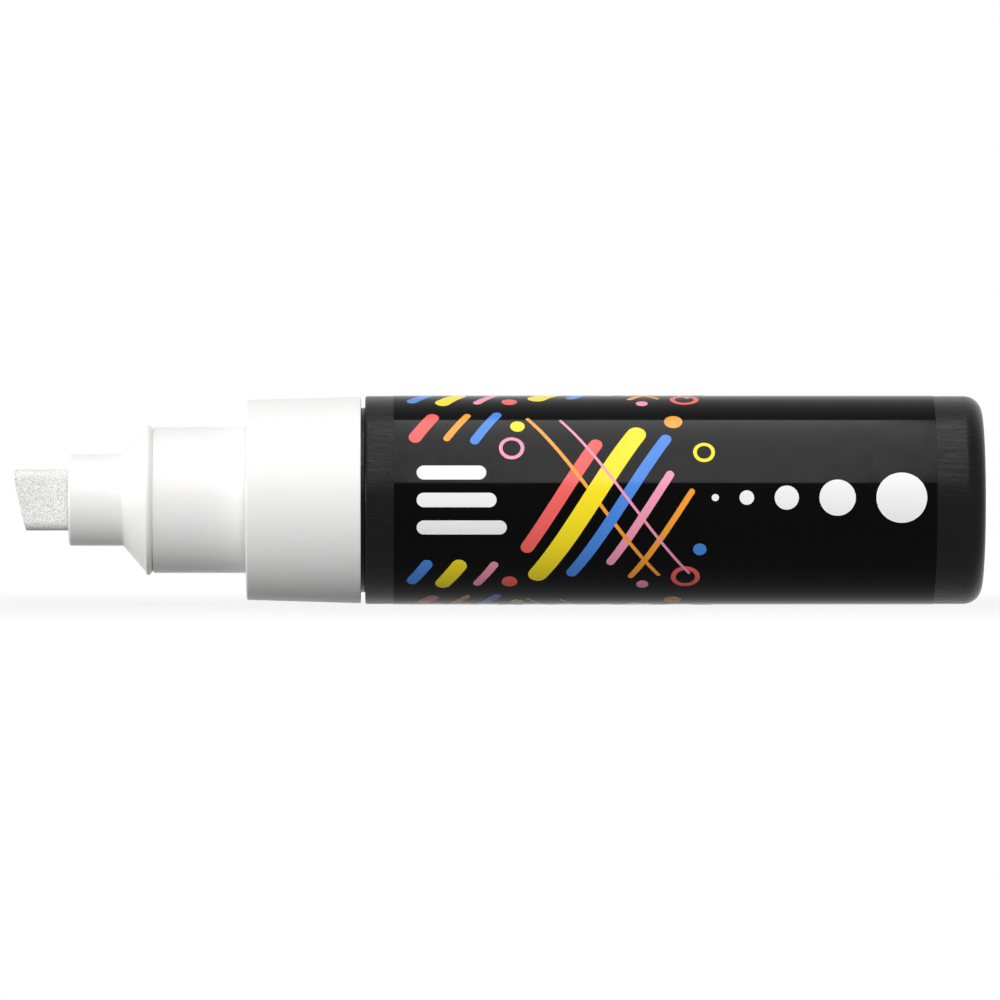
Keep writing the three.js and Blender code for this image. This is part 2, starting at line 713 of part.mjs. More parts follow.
const pieces = [
  ["tank", tank(), BLACK_PLASTIC],
  ["label_sleeve", labelSleeve(), BLACK_FILM],
  ["head_shell", headShell(), WHITE_PLASTIC],
  ["nozzle", nozzle(), WHITE_PLASTIC],
  ["nib", nib(), FELT],
  ["nib_carrier", nibCarrier(), NATURAL_PLASTIC],
  ["valve_stem", valveStem(), NATURAL_PLASTIC],
  ["valve_washer", valveWasher(), RUBBER],
  ["valve_body", valveBody(), NATURAL_PLASTIC],
  ["body_seal", bodySeal(), RUBBER],
  ["valve_spring", valveSpring(), STEEL],
  ["valve_cage", valveCage(), NATURAL_PLASTIC],
  ["neck_gasket", neckGasket(), RUBBER],
  ["mixing_ball_front", mixingBall(BALL_TO_SHOULDER), STEEL],
  ["mixing_ball_rear", mixingBall(tankRear - BALL_TO_TAIL), STEEL],
];
console.log("least gap between the spring's curls, mm:", springGap().toFixed(2));

const marker = new THREE.Group();
marker.position.set(-(nibTipX + tankRear) / 2, 0, labelRadius);
for (const [name, geometry, finish] of pieces) {
  const mesh = new THREE.Mesh(geometry, new THREE.MeshStandardMaterial(finish));
  mesh.name = name;
  marker.add(mesh);
}
const part = new THREE.Group();
part.add(marker);

export default part;
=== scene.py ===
"""A wide acrylic paint marker with its cap off, lying on a pale studio floor.

The marker's axis runs along X, with the nib towards -X. Nearly every piece is a surface worked out with
numpy round the packed model, in metres, that takes its place from that model's own boxes. The nib's
carrier and the valve's cage are finished copies of its nodes.
"""

from functools import partial

import bmesh
import bpy
import numpy as np
from bpy.props import FloatProperty, FloatVectorProperty, IntProperty, PointerProperty
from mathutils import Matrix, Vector


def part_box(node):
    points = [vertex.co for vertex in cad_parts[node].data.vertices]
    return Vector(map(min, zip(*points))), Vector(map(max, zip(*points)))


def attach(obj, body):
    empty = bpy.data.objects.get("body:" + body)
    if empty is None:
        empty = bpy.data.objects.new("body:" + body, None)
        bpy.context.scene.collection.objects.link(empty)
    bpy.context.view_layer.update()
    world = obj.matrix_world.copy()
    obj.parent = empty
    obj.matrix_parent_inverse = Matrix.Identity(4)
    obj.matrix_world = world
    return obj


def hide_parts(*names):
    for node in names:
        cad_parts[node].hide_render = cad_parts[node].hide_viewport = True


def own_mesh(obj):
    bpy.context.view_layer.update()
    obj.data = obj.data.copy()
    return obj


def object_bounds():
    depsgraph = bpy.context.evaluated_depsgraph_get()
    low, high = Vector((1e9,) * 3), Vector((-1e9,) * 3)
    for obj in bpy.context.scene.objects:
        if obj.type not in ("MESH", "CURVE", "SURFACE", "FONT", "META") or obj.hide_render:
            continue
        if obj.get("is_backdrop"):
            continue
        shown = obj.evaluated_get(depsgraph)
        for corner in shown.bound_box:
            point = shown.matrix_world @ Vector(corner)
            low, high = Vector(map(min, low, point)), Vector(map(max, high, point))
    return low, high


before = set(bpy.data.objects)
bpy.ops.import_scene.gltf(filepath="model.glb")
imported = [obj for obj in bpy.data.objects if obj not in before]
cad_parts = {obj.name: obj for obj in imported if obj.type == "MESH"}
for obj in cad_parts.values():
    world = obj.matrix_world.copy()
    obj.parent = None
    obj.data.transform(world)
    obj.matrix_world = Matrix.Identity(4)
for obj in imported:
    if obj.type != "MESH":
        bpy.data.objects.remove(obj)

bl_info = {
    "name": "Wide paint marker",
    "version": (1, 0, 0),
    "blender": (4, 5, 0),
    "location": "3D View > Sidebar > Marker",
    "description": "Builds a wide paint marker with its cap off",
    "category": "Add Mesh",
}

MM = 0.001
CIRCLE = 2 * np.pi
CAD_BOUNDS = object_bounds()
BOX = {node: np.array(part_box(node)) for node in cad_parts}
AXIS_HEIGHT = BOX["label_sleeve"][:, 2].mean()


def ends_of(node):
    """Stations of a node's front end, the one towards the nib, and of its rear end."""
    return BOX[node][:, 0].tolist()


def radius_of(node):
    """Outer radius of a node that is turned about the marker's axis."""
    return float(np.ptp(BOX[node][:, 2]) / 2)


# Settings


def kind(unit, factor=1.0, **limits):
    """A kind of setting. From a description and a value, which is multiplied by the factor, it makes a
    property of that unit that still wants its name."""

    def setting(description, value):
        return partial(FloatProperty, description=description, default=value * factor, unit=unit, **limits)

    return setting


size = kind("LENGTH", MM, min=0.0)
station = kind("LENGTH")
angle = kind("ROTATION", np.radians(1))
share = kind("NONE", min=0.0, max=1.0, subtype="FACTOR")
turns = kind("NONE", min=0.0)
watts = kind("POWER", min=0.0)
optics = kind("CAMERA", min=0.0)


def count(description, default):
    return partial(IntProperty, description=description, default=default, min=3)


def colour(description, *channels):
    limits = {"min": 0.0, "max": 1.0}
    return partial(FloatVectorProperty, description=description, default=channels, subtype="COLOR", **limits)


def named(group):
    """Gives each setting of a group its attribute's name, in words."""
    for attribute, setting in group.__annotations__.items():
        group.__annotations__[attribute] = setting(name=attribute.replace("_", " ").capitalize())
    return group


@named
class MeshSettings(bpy.types.PropertyGroup):
    """How finely the surfaces are drawn."""

    sides: count("Faces round a large turned piece", 192)
    small_sides: count("Faces round a small turned piece or a printed dot", 96)
    seal_sides: count("Faces round the seal's section", 32)
    arc_steps: count("Faces along a rounded edge", 6)
    thread_row: size("Distance between rows of faces over a thread", 0.06)
    nib_row: size("Distance between rows of faces on the nib", 0.16)


@named
class TankSizes(bpy.types.PropertyGroup):
    """The barrel that holds the paint."""

    radius: size("Outer radius of the barrel", radius_of("tank") / MM)
    length: size("From the shoulder to the tail", 102.7)
    wall: size("Thickness round the barrel", 1.5)
    tail_wall: size("Thickness of the tail", 1.9)
    tail_fillet: size("Radius of the tail's edge", 3)
    inner_round: size("Radius where wall and tail meet, inside", 2)
    shoulder_wall: size("Thickness of the shoulder", 1.7)
    shoulder_edge: size("Radius of the shoulder's edge", 0.35)
    neck_wall: size("Thickness of the neck under its thread", 1.6)
    neck_root: size("Radius of the neck between its threads", radius_of("neck_gasket") / MM)
    neck_base: size("Radius of the ring behind the thread", 15.38)
    neck_base_length: size("Length of that ring", 2.2)
    edge: size("Radius of the small edges", 0.15)


@named
class ThreadSizes(bpy.types.PropertyGroup):
    """The right-hand thread of the neck and of the head."""

    pitch: size("Advance in one turn", 3)
    height: size("From root to crest", 0.9)
    root_width: size("Width of the ridge at its root", 1.5)
    crest_width: size("Width of the ridge at its crest", 0.8)
    front_gap: size("From the lip to the first turn of the neck's ridge", 2)
    turns: turns("Length of the ridge in turns", 2.247)
    fade: share("Part of a turn in which a ridge's end runs out", 0.06)


@named
class LabelSizes(bpy.types.PropertyGroup):
    """The printed film round the barrel."""

    film_setback: size("How far the bare film lies inside the packed sleeve", 0.028)
    ink_setback: size("Depth shared out among the levels of the prints", 0.02)
    ink_sunk: size("How deep a print's underside lies in the film", 0.02)
    edge: size("Radius of the film's cut edges", 0.02)


@named
class HeadSizes(bpy.types.PropertyGroup):
    """The collar that a cap slides over, and the grip behind it."""

    collar_radius: size("Outer radius of the collar", 12.15)
    collar_length: size("From its front to the grip", 15.5)
    collar_bore: size("Inner radius of the collar", 10.9)
    grip_taper: size("How much smaller the grip's radius is at its front", 0.55)
    web: size("Thickness of the grip's front wall", 2.2)
    thread_root: size("Inner radius between the threads", 14.95)
    mouth_radius: size("Inner radius at the rear", 15.63)
    mouth_depth: size("Depth of that wider mouth", 2)
    thread_setback: size("How far its ridge starts behind the neck's", 1.5)
    edge: size("Radius of the small edges", 0.15)
    front_edge: size("Radius of the collar's front edge, behind the bead", 0.2)
    grip_edge: size("Radius of the grip's front edge", 0.3)


@named
class NozzleSizes(bpy.types.PropertyGroup):
    """The tube that holds the nib, with its cone, bead and plug."""

    radius: size("Outer radius of the tube", 7.62)
    bore: size("Inner radius of the tube", 6.7)
    length: size("From the rim to the cone", 9.03)
    cone_length: size("Length of the cone", 3.8)
    cone_wall: size("Thickness of the cone", 1.1)
    cone_end: size("Radius of the cone where it meets the bead", 12.05)
    bead_width: size("Width of the bead that a cap snaps over", 1.22)
    bead_round: size("Radius of the bead's front edge", 0.3)
    bead_crest: size("From the bead's front to where it starts to fall", 0.62)
    bead_fall: size("How far it falls towards the collar", 0.8)
    bead_back: size("Radius where it starts to fall", 0.5)
    plug_radius: size("Outer radius of the plug in the collar", 10.85)
    plug_wall: size("Thickness of the plug", 1.25)
    rim: size("Radius of the rim's outer edge", 0.45)
    slot_depth: size("Depth of the slots for the carrier's keys", 0.42)
    slot_width: size("Width of those slots", 2)
    slot_front: size("From the rim to the slots", 2.6)
    edge: size("Radius of the small edges", 0.12)


@named
class NibSizes(bpy.types.PropertyGroup):
    """The fibre block that writes."""

    corner: size("Radius of the long edges", 1.6)
    tip_flat: size("Height of the square part of the tip", 2.3)
    slant_back: size("How far the slant draws back at the bottom", 1.9)
    edge: size("Width of the chamfers round its two ends", 0.18)
    fibre_relief: size("Depth of the fibres' unevenness", 0.05)
    fibre_grain: size("Size of the fibres' clumps", 0.45)
    fibre_waves: count("Waves that make up the unevenness", 24)


@named
class ValveSizes(bpy.types.PropertyGroup):
    """The valve inside the head."""

    flange_thickness: size("Thickness of the body's flange", 1.6)
    front_wall: size("Thickness of the body's front wall", 1.4)
    chamfer: size("Radius of the body's front edge", 0.5)
    cavity: size("Inner radius of the body", 8.2)
    groove: size("Radius of the seal's groove", 9.24)
    seat_lip: size("Outer radius of the seat's lip", 5.2)
    seat_bore: size("Inner radius of the seat", 4.2)
    seat_height: size("Height of the seat's lip", 0.8)
    stem_radius: size("Radius of the stem's shank", 2.5)
    stem_end: size("Radius of the stem's spigot and tail", 2.2)
    spigot_length: size("Length of the spigot in the carrier", 2.4)
    stem_flange: size("Thickness of the stem's flange", 1.2)
    tail_chamfer: size("Chamfer of the stem's tail", 0.6)
    press_gap: size("Gap round a pressed piece", 0.05)
    touch: size("Gap between faces that bear on each other", 0.02)
    gasket_bore: size("Inner radius of the neck's gasket", 12.2)
    edge: size("Radius of the small edges", 0.15)
    carrier_edge: size("Width of the nib carrier's eased edges", 0.08)
    cage_edge: size("Width of the cage's eased edges", 0.12)


@named
class SpringSizes(bpy.types.PropertyGroup):
    """The compression spring."""

    wire_radius: size("Radius of the wire", 0.45)
    curls: count("Turns of the wire", 7)
    end_gap: size("Gap between the two curls at each end", 0.55)
    curl_steps: count("Faces along one curl", 48)
    wire_sides: count("Faces round the wire", 14)


@named
class BallSizes(bpy.types.PropertyGroup):
    """The two mixing balls."""

    rings: count("Rings of faces from pole to pole", 48)


@named
class Colours(bpy.types.PropertyGroup):
    """Colours of the finishes and of the inks."""

    black_plastic: colour("The barrel", 0.003, 0.003, 0.0033)
    black_film: colour("The label", 0.0006, 0.0006, 0.0007)
    white_plastic: colour("The head and the nozzle", 0.86, 0.86, 0.855)
    fibre: colour("The nib", 0.9, 0.9, 0.895)
    natural_plastic: colour("The valve", 0.72, 0.73, 0.7)
    rubber: colour("The seals", 0.018, 0.018, 0.02)
    steel: colour("The spring and the balls", 0.56, 0.57, 0.59)
    yellow_ink: colour("Stripes", 0.98, 0.78, 0.02)
    coral_ink: colour("Stripes", 0.9, 0.13, 0.12)
    blue_ink: colour("Stripes", 0.07, 0.25, 0.75)
    pink_ink: colour("Stripes", 0.9, 0.33, 0.48)
    orange_ink: colour("Stripes", 0.95, 0.36, 0.04)
    white_ink: colour("Bars and discs", 0.9, 0.9, 0.9)


@named
class StageSettings(bpy.types.PropertyGroup):
    """Floor, lamps and camera."""

    floor_size: station("Length of the floor's sides", 24.0)
    floor_tone: share("How much light the floor gives back", 0.26)
    floor_white_near: share("How white the floor shows beside the marker", 0.88)
    fade_start: station("Where the floor starts to turn white", 0.06)
    fade_end: station("Where the floor is all white", 0.25)
    sky: share("Strength of the even light from above", 0.29)
    strip_distance: station("From the marker to the strip lamp", 3.0)
    strip_low: angle("Height of its lower end, seen from the marker", 19)
    strip_high: angle("Height of its upper end", 99)
    strip_width: station("Width of the strip lamp", 0.3)
    strip_station: station("Where along the marker the strip lamp hangs", 0.11)
    strip_power: watts("Watts of the strip lamp", 48.0)
    fill_distance: station("From the marker to the fill lamp", 2.4)
    fill_height: angle("Height of the fill lamp, seen from the marker", 20)
    fill_width: station("Width of the fill lamp", 1.6)
    fill_power: watts("Watts of the fill lamp", 28.5)
    side_station: station("Where along the marker the side lamp stands", -2.0)
    side_reach: station("How far the side lamp stands to the camera's side", 0.25)
    side_height: station("Height of the side lamp over the floor", 0.05)
    side_width: station("Length of the side lamp's sides", 0.8)
    side_power: watts("Watts of the side lamp at the nib's end", 36.0)
    camera_distance: station("From the camera to the marker's axis", 1.75)
    camera_station: station("Where the camera stands along the marker", -0.0174)
    aim_station: station("Where along the marker the camera looks", 0.00028)
    lens: optics("Focal length in millimetres", 378.0)
    sensor: optics("Width of the sensor in millimetres", 36.0)


GROUPS = {
    "mesh": MeshSettings,
    "tank": TankSizes,
    "thread": ThreadSizes,
    "label": LabelSizes,
    "head": HeadSizes,
    "nozzle": NozzleSizes,
    "nib": NibSizes,
    "valve": ValveSizes,
    "spring": SpringSizes,
    "balls": BallSizes,
    "colours": Colours,
    "stage": StageSettings,
}


class MarkerSettings(bpy.types.PropertyGroup):
    """All settings of the marker, group by group."""

    __annotations__ = {
        name: PointerProperty(name=name.capitalize(), description=group.__doc__, type=group)
        for name, group in GROUPS.items()
    }


def settings():
    return bpy.context.scene.paint_marker


# Outlines, surfaces and pieces

GUARD = 1.12  # how far out the points that guard an arc lie, as a share of its reach
SAME_PLACE = 1e-9  # points of a row that are closer than this, in metres, meet
DRAWN_SHARP = np.radians(50)  # edges of a drawn piece that are sharper than this stay crisp
COPIED_SHARP = np.radians(30)  # and those of a CAD node's copy
MERGE_DISTANCE = 0.001 * MM  # points of a copy that are closer than this become one
FLAT_ANGLE = np.radians(0.6)  # faces of a copy that meet at less than this are one flat
EASED_ANGLE = np.radians(40)  # edges of a copy that are sharper than this are eased


def normalised(vectors):
    """Vectors of length 1 in the same directions."""
    return vectors / np.linalg.norm(vectors, axis=-1, keepdims=True)


def rounded(corners, edge, closed=True):
    """An outline (x, r) whose corners are rounded.

    A corner is (x, r), rounded to the radius edge, or (x, r, radius). It gives way to an arc that touches
    both of its sides. With w the angle that the arc turns through, a and b the ways from its centre to
    its two ends and t from 0 to 1, its points are centre + (a sin((1 - t) w) + b sin(t w)) / sin(w). One
    more point lies just outside each end of the arc, so that the flats beside it keep their own shading.
    An open outline keeps its first and last point as they are.
    """
    corners = np.array([(*corner, edge)[:3] for corner in corners])
    points, radii = corners[:, :2], corners[:, 2:]
    before = normalised(np.roll(points, 1, axis=0) - points)
    after = normalised(np.roll(points, -1, axis=0) - points)
    half = np.arccos(np.clip((before * after).sum(axis=1), -1, 1))[:, None] / 2
    reach = radii / np.tan(half)
    centre = points + normalised(before + after) * radii / np.sin(half)
    turn = (np.pi - 2 * half)[:, None]
    t = np.linspace(0, 1, settings().mesh.arc_steps + 1)[None, :, None]
    start = (points + before * reach - centre)[:, None]
    end = (points + after * reach - centre)[:, None]
    arcs = centre[:, None] + (start * np.sin((1 - t) * turn) + end * np.sin(t * turn)) / np.sin(turn)
    leads = (points + before * reach * GUARD)[:, None]
    tails = (points + after * reach * GUARD)[:, None]
    outline = np.concatenate([leads, arcs, tails], axis=1)
    if closed:
        return outline.reshape(-1, 2)
    return np.concatenate([points[:1], outline[1:-1].reshape(-1, 2), points[-1:]])


def with_rows(outline, step, low, high):
    """The outline with extra points every step along it, wherever the lowest corner low and the highest
    corner high enclose them. Those nearer than an eighth of a step to one of its own points are left
    out."""
    along = np.concatenate([[0], np.cumsum(np.linalg.norm(np.diff(outline, axis=0), axis=1))])

    def points_at(ways):
        return np.column_stack([np.interp(ways, along, column) for column in outline.T])

    extra = np.arange(0, along[-1], step)
    places = points_at(extra)
    inside = ((places >= low) & (places <= high)).all(axis=1)
    clear = np.abs(extra[:, None] - along).min(axis=1) > step / 8
    return points_at(np.sort(np.concatenate([along, extra[inside & clear]])))


def grid_mesh(points, closed_rows=False):
    """A grid of points (rows, columns, 3) whose last column joins its first, as mesh data: its vertices,
    the vertices at all its faces' corners in one list, and the number of corners of each face.

    A first or last row whose points all meet is a pole: it becomes one vertex with a fan of triangles.
    With closed_rows the last row joins the first. If the faces enclose a negative volume, the list is
    turned round, and so is each face.
    """
    rows, columns = points.shape[:2]
    index = np.arange(rows * columns).reshape(rows, columns)
    poles = (np.ptp(points[[0, -1]], axis=1).max(axis=1) < SAME_PLACE) & (not closed_rows)
    index[[0, -1]] = np.where(poles[:, None], index[[0, -1], :1], index[[0, -1]])
    if closed_rows:
        index = np.concatenate([index, index[:1]])
    across = np.roll(index, -1, axis=1)
    quads = np.stack([index[:-1], across[:-1], across[1:], index[1:]], axis=-1)
    at_front, at_rear = poles.astype(int)
    inner = quads[at_front : len(quads) - at_rear].reshape(-1, 4)
    fans = [quads[0][:, 1:]] * at_front + [quads[-1][:, [0, 1, 3]]] * at_rear
    corners = np.concatenate([inner.ravel()] + [fan.ravel() for fan in fans])
    counts = np.repeat([4, 3], [len(inner), columns * len(fans)])
    flat = points.reshape(-1, 3)
    a, b, c, d = (flat[inner[:, k]] - flat.mean(axis=0) for k in range(4))
    volume = (np.cross(b, c) * a).sum() + (np.cross(c, d) * a).sum()
    if volume < 0:
        corners, counts = corners[::-1], counts[::-1]
    used, corners = np.unique(corners, return_inverse=True)
    return flat[used], corners, counts


def joined(parts):
    """Several pieces of mesh data as one."""
    vertices, corners, counts = zip(*parts)
    starts = np.cumsum([0] + [len(part) for part in vertices[:-1]])
    corners = [part + start for part, start in zip(corners, starts)]
    return np.concatenate(vertices), np.concatenate(corners), np.concatenate(counts)


def new_object(name, data):
    """An object of that data, in the scene."""
    made = bpy.data.objects.new(name, data)
    bpy.context.scene.collection.objects.link(made)
    return made


def dressed(name, mesh, sharp, material, slot, body, nodes):
    """A mesh as a smooth piece whose edges sharper than an angle stay crisp. It has the material, or else
    the finish of its slot, rides on a body and stands for the CAD nodes named."""
    mesh.materials.append(material or finish(slot))
    mesh.shade_smooth()
    mesh.set_sharp_from_angle(angle=sharp)
    piece = new_object(name, mesh)
    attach(piece, body)
    if nodes:
        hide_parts(*nodes)
    return piece


def make_piece(name, mesh_data, slot, body, *nodes, material=None):
    """A piece from mesh data."""
    vertices, corners, counts = mesh_data
    mesh = bpy.data.meshes.new(name)
    mesh.vertices.add(len(vertices))
    mesh.vertices.foreach_set("co", vertices.ravel())
    mesh.loops.add(len(corners))
    mesh.loops.foreach_set("vertex_index", corners)
    mesh.polygons.add(len(counts))
    mesh.polygons.foreach_set("loop_start", np.cumsum(counts) - counts)
    mesh.update(calc_edges=True)
    mesh.validate()
    return dressed(name, mesh, DRAWN_SHARP, material, slot, body, nodes)


def finished_copy(node, name, edge, slot, body):
    """A copy of a CAD node with its loose triangles merged, its flat faces dissolved and its edges
    eased."""
    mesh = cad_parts[node].data.copy()
    working = bmesh.new()
    working.from_mesh(mesh)
    bmesh.ops.remove_doubles(working, verts=working.verts, dist=MERGE_DISTANCE)
    bmesh.ops.dissolve_limit(working, angle_limit=FLAT_ANGLE, verts=working.verts, edges=working.edges)
    working.to_mesh(mesh)
    working.free()
    mesh.materials.clear()
    piece = dressed(name, mesh, COPIED_SHARP, None, slot, body, [node])
    bevel = piece.modifiers.new("Eased edges", "BEVEL")
    bevel.width = edge
    bevel.segments = 2
    bevel.limit_method = "ANGLE"
    bevel.angle_limit = EASED_ANGLE


def round_axis(x, r, a):
    """The points at the station x, the radius r and the angle a from the top of the marker's axis:
    (x, -r sin a, axis height + r cos a)."""
    x, r, a = np.broadcast_arrays(x, r, a)
    return np.stack([x, -r * np.sin(a), AXIS_HEIGHT + r * np.cos(a)], axis=-1)


def turned_mesh(outline, sides, closed=True, relief=None):
    """An outline turned about the marker's axis. relief(x, r, a) gives what is added to the radius at each
    point of the outline and angle."""
    a = np.linspace(0, CIRCLE, sides, endpoint=False)
    x, r = outline.T[:, :, None]
    if relief is not None:
        r = r + relief(x, r, a)
    return grid_mesh(round_axis(x, r, a), closed)


def smooth_step(value):
    """0 below 0, 1 above 1, and 3 v v - 2 v v v between them."""
    value = np.clip(value, 0, 1)
    return value * value * (3 - 2 * value)


def thread_height(x, a, first):
    """Height of the thread's ridge over its wall, at station x and angle a.

    The ridge's middle lies at first + pitch * n, n being its turns from the start: whole turns plus a's
    part of one. The height is full within half the crest's width of it and falls to none at half the
    root's width, and both ends of the ridge fade out.
    """
    thread = settings().thread
    whole = np.round((x - first) / thread.pitch - a / CIRCLE)
    n = np.clip(whole + a / CIRCLE, 0, thread.turns)
    from_middle = np.abs(x - first - thread.pitch * n)
    flank = (thread.root_width - thread.crest_width) / 2
    body = smooth_step((thread.root_width / 2 - from_middle) / flank)
    ends = smooth_step(n / thread.fade) * smooth_step((thread.turns - n) / thread.fade)
    return thread.height * body * ends


def threaded_mesh(outline, wall, first, side, closed=True):
    """A turned outline with the thread's ridge on one of its walls, outwards where side is 1 and inwards
    where it is -1. The wall is given by its front, its rear, its radius and the radius of its edges."""
    front, rear, root, edge = wall
    mesh = settings().mesh
    rows = with_rows(outline, mesh.thread_row, (front, root - edge), (rear, root + edge))

    def relief(x, r, a):
        on_wall = (np.abs(r - root) < edge / 2) & (x > front) & (x < rear)
        return np.where(on_wall, side * thread_height(x, a, first), 0)

    return turned_mesh(rows, mesh.sides, closed, relief)


# Finishes

# The Mix node's sockets for colours: its factor and its two colours, and its result
MIX_INPUTS = (0, 6, 7)
MIX_RESULT = 2


class Tree:
    """The node tree of a material or world under construction."""

    def __init__(self, owner):
        owner.use_nodes = True
        self.nodes = owner.node_tree.nodes
        self.links = owner.node_tree.links

    def feed(self, socket, value):
        """Gives a socket its value: a number or colour, or another node's output that it is linked to."""
        if isinstance(value, bpy.types.NodeSocket):
            self.links.new(value, socket)
        else:
            socket.default_value = value

    def fill(self, node, **values):
        """Feeds the inputs of these names."""
        for name, value in values.items():
            self.feed(node.inputs[name.replace("_", " ")], value)

    def node(self, type_name, **values):
        made = self.nodes.new("ShaderNode" + type_name)
        self.fill(made, **values)
        return made

    def math(self, operation, *values):
        made = self.node("Math")
        made.operation = operation
        for socket, value in zip(made.inputs, values):
            self.feed(socket, value)
        return made.outputs[0]

    def ranged(self, source, low, high, from_low=0.3, from_high=0.7):
        """The source's range from_low to from_high carried over to low to high."""
        made = self.node("MapRange", Value=source, From_Min=from_low, From_Max=from_high)
        self.fill(made, To_Min=low, To_Max=high)
        return made.outputs["Result"]


class Shade(Tree):
    """A material under construction, from its base colour. Grains and depths are in millimetres."""

    def __init__(self, name, base):
        self.material = bpy.data.materials.new(name)
        super().__init__(self.material)
        self.base = base
        self.shader = self.nodes["Principled BSDF"]
        self.coordinates = self.node("TexCoord").outputs["Object"]

    def noise(self, grain, stretch=(1, 1, 1), detail=3.0, roughness=0.5):
        """Noise of a grain that is longer along each axis by the stretch there."""
        scale = [1 / (grain * MM * s) for s in stretch]
        place = self.node("Mapping", Vector=self.coordinates, Scale=scale).outputs["Vector"]
        made = self.node("TexNoise", Vector=place, Scale=1.0, Detail=detail, Roughness=roughness)
        return made.outputs["Fac"]

    def scaled(self, factor):
        """The base colour times a factor."""
        return (*(min(1.0, channel * factor) for channel in self.base), 1)

    def mixed(self, factor, first, second):
        """A colour between two, by a factor."""
        made = self.node("Mix")
        made.data_type = "RGBA"
        for k, value in zip(MIX_INPUTS, (factor, first, second)):
            self.feed(made.inputs[k], value)
        return made.outputs[MIX_RESULT]

    def tint(self, low, high, source, from_low=0.3, from_high=0.7):
        """The base colour times low to high, as the source goes from from_low to from_high."""
        share_of_high = self.ranged(source, 0, 1, from_low, from_high)
        mix = self.mixed(share_of_high, self.scaled(low), self.scaled(high))
        self.fill(self.shader, Base_Color=mix)
        return mix

    def gloss(self, low, high, source, from_low=0.3, from_high=0.7):
        """A roughness from low to high, as the source goes from from_low to from_high."""
        self.fill(self.shader, Roughness=self.ranged(source, low, high, from_low, from_high))

    def bump(self, depth, source):
        """Unevenness of a depth, laid over what is there."""
        made = self.node("Bump", Strength=1.0, Distance=depth * MM, Height=source)
        for link in self.shader.inputs["Normal"].links:
            self.fill(made, Normal=link.from_socket)
        self.fill(self.shader, Normal=made.outputs["Normal"])

    def finished(self, **values):
        """The material, once the shader's own sockets have these values."""
        self.fill(self.shader, **values)
        return self.material


def white_plastic():
    """Glossy white moulding: a trace of orange peel, faint clouds of gloss and fine handling marks along
    the axis."""
    shade = Shade("white moulded plastic", settings().colours.white_plastic)
    shade.tint(0.985, 1.01, shade.noise(4), 0, 1)
    shade.gloss(0.27, 0.31, shade.noise(3), 0.2, 0.8)
    shade.bump(0.0007, shade.noise(0.9, detail=1))
    shade.bump(0.0003, shade.noise(0.25, (14, 1, 1)))
    return shade.finished(Specular_IOR_Level=0.32, Subsurface_Weight=0.06, Subsurface_Scale=0.8 * MM)


def black_plastic():
    """Satin black barrel with fine streaks along its length and a grain over them."""
    shade = Shade("satin black plastic", settings().colours.black_plastic)
    streaks = shade.noise(0.3, (16, 1, 1), detail=5, roughness=0.75)
    shade.tint(0.4, 2.2, streaks)
    shade.gloss(0.12, 0.38, streaks, 0.38, 0.62)
    shade.bump(0.03, streaks)
    shade.bump(0.008, shade.noise(0.16, (2.5, 1, 1), detail=2))
    return shade.finished(Specular_IOR_Level=0.13)


def black_film():
    """Glossy black film: nearly a mirror, with slow waves where it lies on the barrel and hair-fine
    rubs."""
    shade = Shade("glossy black film", settings().colours.black_film)
    shade.tint(0.7, 1.3, shade.noise(0.2, (18, 1, 1), detail=4, roughness=0.7))
    shade.gloss(0.05, 0.1, shade.noise(3, detail=5))
    shade.bump(0.01, shade.noise(9, (3, 1, 1), detail=1))
    return shade.finished(Specular_IOR_Level=0.05)


def ink(name):
    """Printed ink: even colour with the slight mottle of a flexible print, under the film's gloss."""
    shade = Shade(name + " ink", getattr(settings().colours, name + "_ink"))
    mottle = shade.noise(0.5, detail=4)
    shade.tint(0.95, 1.03, mottle, 0, 1)
    shade.gloss(0.12, 0.2, shade.noise(2))
    shade.bump(0.001, mottle)
    return shade.finished(Specular_IOR_Level=0.1)


def fibre():
    """Pressed white fibre: matt, with a salt-and-pepper grain and soft clumps."""
    shade = Shade("pressed white fibre", settings().colours.fibre)
    speckle = shade.noise(0.09, (1.1, 1, 1), detail=0)
    clumps = shade.noise(1.1, (1.6, 1, 1), detail=2)
    grain = shade.tint(0.42, 1.11, speckle, 0.36, 0.51)
    shade.fill(shade.shader, Base_Color=shade.mixed(shade.ranged(clumps, 0, 0.2), grain, shade.scaled(0.85)))
    shade.gloss(0.85, 1.0, speckle)
    shade.bump(0.025, speckle)
    shade.bump(0.05, clumps)
    return shade.finished(Specular_IOR_Level=0.1, Sheen_Weight=0.15, Sheen_Roughness=0.6)


def natural_plastic():
    """Unpigmented moulded plastic: milky, satin, with the slow clouds of its flow in the mould."""
    shade = Shade("natural moulded plastic", settings().colours.natural_plastic)
    shade.tint(0.93, 1.05, shade.noise(2.5, detail=4), 0, 1)
    shade.gloss(0.36, 0.52, shade.noise(0.7, detail=5))
    shade.bump(0.004, shade.noise(0.4))
    return shade.finished(Specular_IOR_Level=0.35, Subsurface_Weight=0.2, Subsurface_Scale=1.2 * MM)


def rubber():
    """Soft black rubber: a matt skin with a fine bloom."""
    shade = Shade("soft black rubber", settings().colours.rubber)
    bloom = shade.noise(0.8, detail=5, roughness=0.6)
    shade.tint(0.8, 1.9, bloom)
    shade.gloss(0.6, 0.85, bloom)
    shade.bump(0.01, shade.noise(0.18))
    return shade.finished(Specular_IOR_Level=0.3)


